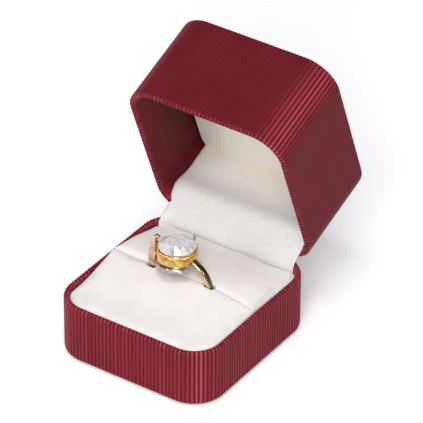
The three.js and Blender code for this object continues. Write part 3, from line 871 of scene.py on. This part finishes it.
def pad_back(sign):
    """How far a pad reaches from the slit. sign is -1 for the front pad and 1 for the rear one."""
    return DEPTH / 2 - WALL_CLEAR if sign < 0 else REAR_BACK


def pad_plan(sign, inset, steps=10):
    """Plan of a pad: straight along the slit, and following the tray's wall and corners elsewhere."""
    back = pad_back(sign) - inset
    radius = CORNER - WALL_CLEAR - inset
    x = WIDTH / 2 - WALL_CLEAR - inset
    cx, cy = x - radius, DEPTH / 2 - WALL_CLEAR - inset - radius
    end = math.degrees(math.asin(min(1.0, (back - cy) / radius)))
    slit = SLIT + inset
    points = [(-x, slit), (x, slit)]
    points += arc_points(cx, cy, radius, 0, end, steps)
    points += arc_points(-cx, cy, radius, 180 - end, 180, steps)
    return [(px, sign * py) for px, py in points]


def pad_blank(name, sign, shrink):
    """Closed block with rounded upper edges, the size of the pad less the given shrinkage."""
    low, high = PAD_LOW.z, PAD_TOP - shrink
    edge = 0.8 * MM
    loops = [[(x, y, low) for x, y in pad_plan(sign, shrink + 0.4 * MM)]]
    loops += [[(x, y, low + 0.4 * MM) for x, y in pad_plan(sign, shrink)]]
    for inset, z in arc_points(edge, high - edge, edge, 180, 90, 5):
        loops.append([(x, y, z) for x, y in pad_plan(sign, shrink + inset)])
    return add_skin(name, loops, VELVET)


# %% Puffing a pad as cloth
SCALE_UP = 20
LAST_FRAME = 20


def puffed(blank, voxel, pressure, cap):
    """Blank remeshed evenly and blown up as cloth, no point moving more than cap."""
    blank.data.transform(Matrix.Scale(SCALE_UP, 4))
    remesh = blank.modifiers.new("even", "REMESH")
    remesh.mode = "VOXEL"
    remesh.voxel_size = voxel * SCALE_UP
    pad = made_plain(blank, blank.name, VELVET)
    rest = np.array([v.co for v in pad.data.vertices])
    cloth = pad.modifiers.new("cloth", "CLOTH")
    cloth.settings.quality = 5
    cloth.settings.mass = 0.3
    cloth.settings.use_pressure = True
    cloth.settings.uniform_pressure_force = pressure
    cloth.settings.effector_weights.gravity = 0
    cloth.settings.tension_stiffness = 25
    cloth.settings.compression_stiffness = 25
    cloth.collision_settings.use_collision = False
    scene = bpy.context.scene
    for step in range(1, LAST_FRAME + 1):
        scene.frame_set(step)
    graph = bpy.context.evaluated_depsgraph_get()
    moved = np.array([v.co for v in pad.evaluated_get(graph).to_mesh().vertices])
    shift = moved - rest
    length = np.linalg.norm(shift, axis=1, keepdims=True)
    shift *= np.minimum(1.0, cap * SCALE_UP / np.maximum(length, 1e-9))
    pad.modifiers.remove(cloth)
    scene.frame_set(1)
    for v, co in zip(pad.data.vertices, rest + shift):
        v.co = co
    pad.data.transform(Matrix.Scale(1 / SCALE_UP, 4))
    smoother = pad.modifiers.new("finer", "SUBSURF")
    smoother.levels = smoother.render_levels = 1
    return made_plain(pad, pad.name, VELVET)


# %% [markdown]
# After the puffing, each pad is brought back inside the tray and shaped by what touches it: the
# slit edges roll down where the two pads press together, and the velvet parts round the band.

# %% Shaping the pads
BAND_RADIUS = 9.5 * MM
RING_X = -0.45 * MM
RING_Z = 16.9 * MM
COLLAR_LOW, COLLAR_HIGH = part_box("ring_collar")
COLLAR_R = (COLLAR_HIGH.x - COLLAR_LOW.x) / 2
HEAD_X = (COLLAR_LOW.x + COLLAR_HIGH.x) / 2


PAD_CROWN = 3.1
PAD_SUNK = 1.25
BACK_DROP = 0.9
LEFT_RISE = 0.9
SQUEEZED_ZONE = 1.9 * MM
SQUEEZE = 0.55 * MM


def pad_lift(x, y):
    """How far the pads' top stands above its plain level: full round the ring and low at the back."""
    reach = 23 * MM if y < 3 * MM else 18 * MM
    across = 1 - (abs(x + 5 * MM) / (28.5 * MM)) ** 3.7
    along = math.cos(0.5 * math.pi * min(1.0, abs(y - 3 * MM) / reach)) ** 2
    back = clamped((y - 12 * MM) / (10 * MM))
    left = clamped((-x - 15 * MM) / (9 * MM))
    side = LEFT_RISE * left * left * along
    return MM * (PAD_CROWN * across * along + side - PAD_SUNK - BACK_DROP * back * back * (3 - 2 * back))


def rightness(x):
    """0 on the left of the slit, 1 on its right, and between them near the middle."""
    return clamped((x + 12 * MM) / (24 * MM))


def pressed_out(distance, reach, zone, squeeze):
    """Distance from a pad's middle once its rounded last zone is squeezed against a wall."""
    left = reach - distance
    if left < zone:
        return reach - left * squeeze / zone
    return (reach - squeeze) * distance / (reach - zone)


def fill_tray(pad, sign):
    """Presses a puffed pad against the walls, its neighbour in the slit, and the floor."""
    low = Vector([min(v.co[k] for v in pad.data.vertices) for k in range(3)])
    high = Vector([max(v.co[k] for v in pad.data.vertices) for k in range(3)])
    half = WIDTH / 2 - WALL_CLEAR
    back = pad_back(sign)
    near, far = (low.y, high.y) if sign > 0 else (-high.y, -low.y)
    for v in pad.data.vertices:
        x = pressed_out(abs(v.co.x) * half / max(high.x, -low.x), half, SQUEEZED_ZONE, SQUEEZE)
        x = math.copysign(x, v.co.x)
        y = (sign * v.co.y - near) * back / (far - near)
        y = pressed_out(y, back, SQUEEZED_ZONE, SQUEEZE)
        y = back - pressed_out(back - y, back, SQUEEZED_ZONE, (0.5 - 0.3 * rightness(x)) * MM)
        z = PAD_LOW.z + (v.co.z - low.z) * (PAD_TOP - PAD_LOW.z) / (high.z - low.z)
        v.co = (x, sign * y, z)


def from_band(x, z):
    """Distance from the band's middle line at the nearest height the ring can be lifted to."""
    lifts = (0.0, 1.5 * MM, 3 * MM, 4.5 * MM, 6 * MM)
    return min(abs(Vector((x - RING_X, z - RING_Z - lift)).length - BAND_RADIUS) for lift in lifts)


def settle_pad(pad, sign):
    """Keeps a pad inside the tray, gives it its crown and hollows, and parts it round the band."""
    fill_tray(pad, sign)
    back = pad_back(sign)
    half = WIDTH / 2 - WALL_CLEAR
    radius = CORNER - WALL_CLEAR
    cx, cy = half - radius, DEPTH / 2 - WALL_CLEAR - radius
    for v in pad.data.vertices:
        x, y, z = v.co.x, sign * v.co.y, v.co.z
        x = max(-half, min(half, x))
        y = max(SLIT, min(back, y))
        out = Vector((max(0.0, abs(x) - cx), max(0.0, y - cy)))
        if out.length > radius:
            out *= radius / out.length
            x, y = math.copysign(cx + out.x, x), cy + out.y
        drop = PAD_TOP - z
        if 0 < drop < 3 * MM:
            firm = 0.45 + 0.4 * rightness(x)
            z += firm * math.exp(-((y / (1.6 * MM)) ** 2)) * drop * (1 - drop / (3 * MM))
        near_top = clamped((z - PAD_TOP + 6 * MM) / (6 * MM))
        unevenness = 0.12 * MM * noise.noise(Vector((x, y * sign, 0.4 * MM)) * 120)
        z += near_top * (pad_lift(x, y * sign) + unevenness)
        near_band = clamped((1.5 * MM - from_band(x, z)) / (0.6 * MM))
        if z > RING_Z - BAND_RADIUS - 1.2 * MM:
            widest = (1.5 if x < 0 else 1.05) * MM
            room = widest * near_band * math.exp(-max(0.0, y - 1.5 * MM) / (1.5 * MM))
            y = max(y, y * 0.4 + room)
        v.co = (x, sign * y, z)
    pad.data.update()
    pad.data.shade_smooth()


PUFF = {"voxel": 0.7 * MM, "pressure": 3.0, "cap": 0.8 * MM}
front_pad = puffed(pad_blank("front_velvet_pad", -1, shrink=0.45 * MM), **PUFF)
settle_pad(front_pad, -1)
rear_pad = puffed(pad_blank("rear_velvet_pad", 1, shrink=0.55 * MM), **PUFF)
settle_pad(rear_pad, 1)
for piece, node in ((front_pad, "front_pad"), (rear_pad, "rear_pad")):
    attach(piece, "base")
    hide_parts(node)
    print(piece.name, len(piece.data.polygons), "faces")

# %% [markdown]
# A satin sheet hides the hinge. It is tucked between the rear pad and the tray, rises over the
# hinge in a soft roll, dips, and runs up the lid's back wall to the roof lining. It spans both
# halves of the box, so it is one sheet, shaped with a bend at the hinge as the lid stands at rest.
# Its path is a short list of points seen from the side, and the cloth is laid along it with faint
# waves across.

# %% Satin apron
def smooth_path(points, steps):
    """Points evenly spaced along a Catmull-Rom curve through the given points, and its length."""
    p = np.array([points[0]] + list(points) + [points[-1]], float)
    fine = []
    for i in range(1, len(p) - 2):
        for t in np.linspace(0, 1, 24, endpoint=False):
            a, b, c, d = p[i - 1], p[i], p[i + 1], p[i + 2]
            bend, twist = 2 * a - 5 * b + 4 * c - d, 3 * b - a - 3 * c + d
            fine.append(0.5 * (2 * b + (c - a) * t + bend * t ** 2 + twist * t ** 3))
    fine.append(p[-2])
    fine = np.array(fine)
    length = np.concatenate([[0], np.cumsum(np.linalg.norm(np.diff(fine, axis=0), axis=1))])
    at = np.linspace(0, length[-1], steps + 1)
    even = [np.interp(at, length, fine[:, k]) for k in range(fine.shape[1])]
    return np.stack(even, axis=1), length[-1]


def heading_at(line, k):
    """Direction in which a line of points runs at its kth point."""
    before, after = line[max(k - 1, 0)], line[min(k + 1, len(line) - 1)]
    return Vector(after - before).normalized()


def rest_from_shut(y, z):
    """Where a point stands at rest that lies y and z from the hinge axis when the lid is shut."""
    moved = OPENING @ Vector((0, AXIS.y + y, AXIS.z + z))
    return moved.y, moved.z


APRON_LOW_SIDES = (-22.2 * MM, 20.6 * MM)
APRON_HIGH_SIDES = (-22.0 * MM, 22.9 * MM)
LINING_LOW = shut_box("roof_lining")[0].z


def satin_apron():
    """The apron's points and UVs, its rows and columns, and its length."""
    base_part = [(-2.75, -8.3), (-2.7, -4.0), (-2.55, -1.6), (-1.9, 0.5), (-0.4, 3.2)]
    lid_part = [(-5.8, 4.1), (-6.25, 6.4), (-5.5, 9.3), (-5.1, 12.2), (-5.3, 16.5)]
    lid_part.append((-5.5, (LINING_LOW - AXIS.z) / MM - 0.2))
    path = [(AXIS.y + y * MM, AXIS.z + z * MM) for y, z in base_part]
    path += [rest_from_shut(y * MM, z * MM) for y, z in lid_part]
    line, length = smooth_path(path, 96)
    columns = 72
    verts, uvs = [], []
    for i, (y, z) in enumerate(line):
        along = i / (len(line) - 1)
        tangent = heading_at(line, i)
        normal = Vector((-tangent.y, tangent.x))
        for j in range(columns + 1):
            u = -1 + 2 * j / columns
            opened = clamped((along - 0.3) / 0.35)
            left = APRON_LOW_SIDES[0] + opened * (APRON_HIGH_SIDES[0] - APRON_LOW_SIDES[0])
            right = APRON_LOW_SIDES[1] + opened * (APRON_HIGH_SIDES[1] - APRON_LOW_SIDES[1])
            x = left + (right - left) * (u + 1) / 2
            free = math.sin(math.pi * clamped((along - 0.18) / 0.7))
            wave = 0.35 * MM * free * noise.noise(Vector((x * 60, along * 3.0, 0.7)))
            wave += 0.5 * MM * free * max(0.0, u) * math.sin(2 * math.pi * (along * 1.6 + 0.1))
            wall = DEPTH / 2 - RIM - 0.3 * MM
            beyond = max(0.0, abs(x) - (WIDTH / 2 - CORNER))
            corner = CORNER - RIM - 0.3 * MM
            limit = wall - corner + math.sqrt(max(0.0, corner ** 2 - beyond ** 2))
            yy = y + normal.x * wave
            zz = z + normal.y * wave
            held = clamped((BASE_TOP + 2.5 * MM - z) / (3 * MM))
            if yy > limit:
                yy += (limit - yy) * held
            verts.append((x, yy, zz))
            uvs.append((x / MM, along * length / MM))
    return verts, uvs, len(line), columns + 1, length


def cloth_strip(name, verts, uvs, rows, columns, finish, thickness):
    """Sheet with a real, small thickness, from a grid of points."""
    mesh = bpy.data.meshes.new(name)
    faces = [(i * columns + j, i * columns + j + 1, (i + 1) * columns + j + 1, (i + 1) * columns + j)
             for i in range(rows - 1) for j in range(columns - 1)]
    mesh.from_pydata(verts, [], faces)
    layer = mesh.uv_layers.new(name="cloth")
    for loop in mesh.loops:
        layer.data[loop.index].uv = uvs[loop.vertex_index]
    # Painted warm light: over the last part of the sheet, inside the lid, the satin is painted warmer, for
    # the light that the burgundy walls bounce onto it.
    warm_bounce_light = [max(0.0, (k // columns) / (rows - 1) - 0.62) / 0.38 for k in range(len(verts))]
    set_mark(mesh, "warm_bounce_light", warm_bounce_light)
    carrier = linked(name, mesh)
    solidify = carrier.modifiers.new("cloth", "SOLIDIFY")
    solidify.thickness = thickness
    solidify.offset = 0
    made = made_plain(carrier, name, finish)
    face_outwards(made)
    made.data.shade_smooth()
    return made


verts, uvs, rows, columns, apron_length = satin_apron()
apron = cloth_strip("satin_apron", verts, uvs, rows, columns, WHITE_SATIN, 0.16 * MM)
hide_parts("apron_lower", "apron_upper")
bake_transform(apron)

# %% [markdown]
# Behind the satin, a flat spring is held by the hinge's lower leaf and presses on the lid, so that
# the lid snaps both ways. It is thin and, in the real box, bends with the lid; here it is a strip
# shaped to follow both halves with the lid at rest.

# %% Snap spring
def snap_spring():
    """Flat strip from behind the base's back wall, round the hinge, to the lid's."""
    foot = [(-1.75, -6), (-1.85, -1.5), (-1.8, 0.4), (-0.9, 1.75)]
    head = [(-1.8, 1.5), (-1.7, 6)]
    path = [(AXIS.y + y * MM, AXIS.z + z * MM) for y, z in foot]
    path += [rest_from_shut(y * MM, z * MM) for y, z in head]
    line, length = smooth_path(path, 60)
    half, columns = 6 * MM, 8
    verts, uvs = [], []
    for i, (y, z) in enumerate(line):
        for j in range(columns + 1):
            x = half * (2 * j / columns - 1)
            verts.append((x, y, z))
            uvs.append((x / MM, i * length / (len(line) - 1) / MM))
    return cloth_strip("snap_spring_strip", verts, uvs, len(line), columns + 1, HINGE_STEEL, 0.25 * MM)


spring = snap_spring()
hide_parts("snap_spring")
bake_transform(spring)
print("spring", len(spring.data.polygons), "faces")

# %% [markdown]
# The roof of the lid is a card padded with a little foam under satin. It is pressed in and keeps
# itself there, so its edge is soft and turns down towards the wall.

# %% Roof lining
def roof_lining():
    """Soft pad under the roof, built with the lid shut, so that its face looks down."""
    low, high = shut_box("roof_lining")
    crown = 0.5 * MM
    edge = 0.6 * MM
    face = low.z - 0.75 * MM
    inset = RIM + 0.1 * MM
    levels = [(inset + 0.3 * MM, high.z), (inset, high.z - 0.4 * MM)]
    levels += [(i + inset, z) for i, z in arc_points(edge, face + edge, edge, 180, 270, 6)]
    for k in range(1, 9):
        t = k / 9
        levels.append((inset + edge + t * 20.5 * MM, face - crown * math.sin(t * math.pi / 2)))
    pad = add_skin("satin_roof_pad", stacked(levels, 10, 4), ROOF_SATIN_LIT_WARM)
    layer = pad.data.uv_layers.new(name="cloth")
    for loop in pad.data.loops:
        co = pad.data.vertices[loop.vertex_index].co
        layer.data[loop.index].uv = (co.x / MM, co.y / MM)
    return turn_open(pad)


lining = roof_lining()
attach(lining, "lid")
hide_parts("roof_lining")
print("lining", len(lining.data.polygons), "faces")

# %% [markdown]
# The ring has a bypass shape. The band comes out of the slot on the left, stands up beside the
# stone and ends as a claw; on the right it runs in under the collar. Its section changes all the
# way round, so each length is a run of rounded sections along a smooth line.

# %% Ring band
def band_section(centre, along, across, half_width, half_thickness, ridge, sides=16):
    """Rounded oblong section. ridge lifts the outer face to a soft edge along its middle."""
    out = across.cross(along).normalized()
    points = []
    for j in range(sides):
        a = 2 * math.pi * j / sides
        c, s = math.cos(a), math.sin(a)
        u = math.copysign(abs(c) ** 0.55, c) * half_width
        w = math.copysign(abs(s) ** 0.55, s) * half_thickness
        if s > 0:
            w += ridge * (1 - abs(u) / half_width)
        points.append(centre + across * u + out * w)
    return points


def ring_band():
    """The band and its length, from under the collar round to the claw on the left."""
    stone_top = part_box("ring_stone")[1].z
    route = []
    for angle in range(24, 296, 8):
        a = math.radians(angle)
        route.append((RING_X + BAND_RADIUS * math.sin(a), 0, RING_Z + BAND_RADIUS * math.cos(a)))
    for left, front, up in (
        (6.8, 0.9, -6.4), (6.3, 1.6, -3.4), (6.3, 1.7, -1.2), (5.7, 1.7, 0.1), (4.7, 1.5, -0.05),
    ):
        route.append((HEAD_X - left * MM, -front * MM, stone_top + up * MM))
    line, length = smooth_path(route, 120)
    loops = []
    for k, point in enumerate(line):
        t = k / (len(line) - 1)
        along = heading_at(line, k)
        across = Vector((0, 1, 0))
        across = (across - along * across.dot(along)).normalized()
        arm = math.exp(-((t - 0.86) / 0.1) ** 2)
        tip = max(0.0, (t - 0.89) / 0.11)
        taper = max(0.35, 1 - 0.6 * tip)
        half_width = MM * (0.95 + 0.75 * arm + 0.2 * math.exp(-(t / 0.1) ** 2)) * taper
        half_thick = MM * (0.8 + 0.5 * arm) * taper
        ridge = 0.2 * MM * (1 - tip)
        loops.append(band_section(Vector(point), along, across, half_width, half_thick, ridge))
    band = add_skin("ring_bypass_band", loops, GOLD)
    mark_dark_reflection(band)
    return band, length


def mark_dark_reflection(band):
    """The band's outer face gets a painted dark brown reflection. Its edges are left out, so that
    they keep their own bright reflection.
    """
    marks = []
    for v in band.data.vertices:
        out = Vector((v.co.x - RING_X, 0, v.co.z - RING_Z))
        beyond = (out.length - BAND_RADIUS) / (0.8 * MM)
        edge = abs(v.co.y) / (0.95 * MM)
        # Painted dark reflection: 1 on the outer face, fading out towards the band's two edges.
        marks.append(0.85 * clamped(beyond * 2 - 0.8) * (1 - min(1.0, edge) ** 4))
    set_mark(band.data, "dark_reflection", marks)


band, band_length = ring_band()
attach(band, "ring")
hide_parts("ring_band")
print("band", round(band_length / MM, 1), "mm long")


# %% Collar, gallery and claws
def turned_piece(name, profile, finish, lift):
    """Piece turned about the head's upright axis from closed (radius, z) points. lift(angle, z) is
    how far a point is moved up."""
    sides = 72
    loops = []
    for radius, z in profile:
        loop = []
        for k in range(sides):
            a = 2 * math.pi * k / sides
            loop.append((HEAD_X + radius * math.cos(a), radius * math.sin(a), z + lift(a, z)))
        loops.append(loop)
    return add_skin(name, loops, finish, closed=True)


ARM_SIDE = math.radians(205)


def collar():
    """Tapered wall under the stone. Its lower edge dips where the left arm of the band joins it."""
    top, low = COLLAR_HIGH.z, COLLAR_LOW.z
    middle = (top + low) / 2

    def dip(angle, z):
        away = math.remainder(angle - ARM_SIDE, 2 * math.pi)
        towards_arm = math.exp(-(away / 0.7) ** 2)
        return -1.3 * MM * towards_arm * max(0.0, (middle - z) / (middle - low))

    insets = (
        (1.0, low + 0.5 * MM), (0.8, low + 0.12 * MM), (0.45, low), (0.15, low + 0.15 * MM),
        (0.0, low + 0.8 * MM), (-0.05, middle), (0.0, top - 0.35 * MM), (0.08, top - 0.08 * MM),
        (0.2, top), (0.4, top - 0.05 * MM), (0.55, top - 0.5 * MM), (0.9, middle),
    )
    profile = [(COLLAR_R - inset * MM, z) for inset, z in insets]
    return turned_piece("ring_collar_wall", profile, YELLOW_GOLD, dip)


def gallery():
    """White metal strap that runs round the front under the collar and joins its two arms."""
    loops = []
    steps = 48
    for k in range(steps + 1):
        t = k / steps
        a = math.radians(186 + t * 150)
        dip = 1.2 * MM * math.exp(-((a - ARM_SIDE) / 0.7) ** 2)
        taper = math.sqrt(max(0.04, 1 - abs(2 * t - 1) ** 5))
        outward = Vector((math.cos(a), math.sin(a), 0))
        centre = Vector((HEAD_X, 0, COLLAR_LOW.z - 0.6 * MM - dip)) + outward * (COLLAR_R - 0.1 * MM)
        along = Vector((-math.sin(a), math.cos(a), 0))
        half_width, half_thick = 0.66 * MM * taper, 0.5 * MM * taper
        loops.append(band_section(centre, along, Vector((0, 0, 1)), half_width, half_thick, 0.12 * MM))
    return add_skin("ring_white_gallery", loops, WHITE_GOLD)


def claw(name, angle):
    """Round wire claw that lies against the collar and curls over the stone's edge to a small bead."""
    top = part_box("ring_stone")[1].z
    girdle = COLLAR_HIGH.z + 0.4 * MM
    route = [(COLLAR_R - 0.2 * MM, girdle - 1.6 * MM), (COLLAR_R - 0.1 * MM, girdle - 0.8 * MM),
             (COLLAR_R + 0.08 * MM, girdle + 0.2 * MM), (COLLAR_R - 0.15 * MM, girdle + 0.9 * MM),
             (COLLAR_R - 0.65 * MM, top - 0.45 * MM)]
    line, _ = smooth_path([(r, 0, z) for r, z in route], 28)
    turn = Matrix.Rotation(angle, 3, "Z")
    loops = []
    for k, point in enumerate(line):
        t = k / (len(line) - 1)
        along = turn @ heading_at(line, k)
        across = turn @ Vector((0, 1, 0))
        bead = 0.2 * math.exp(-((t - 0.85) / 0.14) ** 2)
        ends = min(1.0, t / 0.08, (1 - t) / 0.08)
        radius = (0.26 + bead) * MM * math.sqrt(max(0.06, ends * (2 - ends)))
        centre = turn @ Vector(point) + Vector((HEAD_X, 0, 0))
        out = across.cross(along).normalized()
        circle = np.radians(np.arange(0, 360, 30))
        loops.append([centre + (across * math.cos(b) + out * math.sin(b)) * radius for b in circle])
    return add_skin(name, loops, GOLD)


collar_wall = collar()
white_gallery = gallery()
front_claw = claw("ring_front_claw", math.radians(-70))
back_claw = claw("ring_back_claw", math.radians(67))
for piece, node, slot in (
    (collar_wall, "ring_collar", "gold"), (white_gallery, "ring_gallery", "white_gold"),
    (front_claw, "ring_claw_front", "gold"), (back_claw, "ring_claw_back", "gold"),
):
    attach(piece, "ring")
    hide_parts(node)
print("head:", collar_wall.name, white_gallery.name, front_claw.name, back_claw.name)

# %% [markdown]
# The stone is a round brilliant: a flat table, a crown of kite and star facets, a thin girdle and
# a pavilion of long facets to a point. Its sparkle comes from flat faces at the right angles, so it
# is cut from rings of points, each ring turned by half a step, and left unsmoothed. Each facet also
# gets a painted brightness, a painted reflection of the light from the facets underneath.

# %% Brilliant-cut stone
def brilliant():
    """The stone's points, from the rim of its table down to the point underneath."""
    low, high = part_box("ring_stone")
    radius = (high.x - low.x) / 2
    girdle_low, girdle_high = COLLAR_HIGH.z + 0.25 * MM, COLLAR_HIGH.z + 0.5 * MM

    def ring(count, r, z, turn):
        angles = [2 * math.pi * (k + turn) / count for k in range(count)]
        return [(HEAD_X + r * math.cos(a), r * math.sin(a), z) for a in angles]

    verts = ring(8, 0.56 * radius, high.z, 0.5)
    verts += ring(8, radius * 0.79, girdle_high + 0.55 * (high.z - girdle_high), 0)
    verts += ring(16, radius, girdle_high, 0)
    verts += ring(16, radius, girdle_low, 0)
    verts += ring(8, radius * 0.22, low.z + 0.2 * (girdle_low - low.z), 0.5)
    verts.append((HEAD_X, 0, low.z))
    return verts


def cut_stone():
    """The facets are the convex hull of the stone's points: every ring of them lies on it."""
    edit = bmesh.new()
    for co in brilliant():
        edit.verts.new(co)
    bmesh.ops.convex_hull(edit, input=edit.verts)
    bmesh.ops.dissolve_limit(edit, angle_limit=0.01, verts=edit.verts, edges=edit.edges)
    mesh = bpy.data.meshes.new("ring_brilliant")
    edit.to_mesh(mesh)
    edit.free()
    stone = linked("ring_brilliant", mesh)
    mesh.materials.append(STONE)
    # Painted reflections: the table is painted brightest and each other facet gets a brightness drawn at
    # random.
    random.seed(11)
    table_area = 3 * MM * MM
    glints = (0.35, 0.6, 0.9, 1.0, 1.0)
    bright = [1.0 if p.area > table_area else random.choice(glints) for p in mesh.polygons]
    set_mark(mesh, "facet", bright, "FACE")
    return stone


stone = cut_stone()
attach(stone, "ring")
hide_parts("ring_stone")
print("stone has", len(stone.data.polygons), "facets")

# %% [markdown]
# What is left are the hidden working parts: the hinge, the cards and the foams. Their shapes in
# the frame are already right, so they only get finishes.

# %% Finishes on the frame's own pieces
for finish, names in (
    (HINGE_STEEL, ("hinge_leaf_base", "hinge_leaf_lid", "hinge_pin", "base_rivet_left",
                   "base_rivet_right", "lid_rivet_left", "lid_rivet_right")),
    (CARD, ("pad_board", "roof_board")),
    (FOAM, ("riser_foam", "roof_foam")),
):
    for name in names:
        mesh = frame["nodes"][name].data
        mesh.materials.clear()
        mesh.materials.append(finish)
print("frame pieces finished")
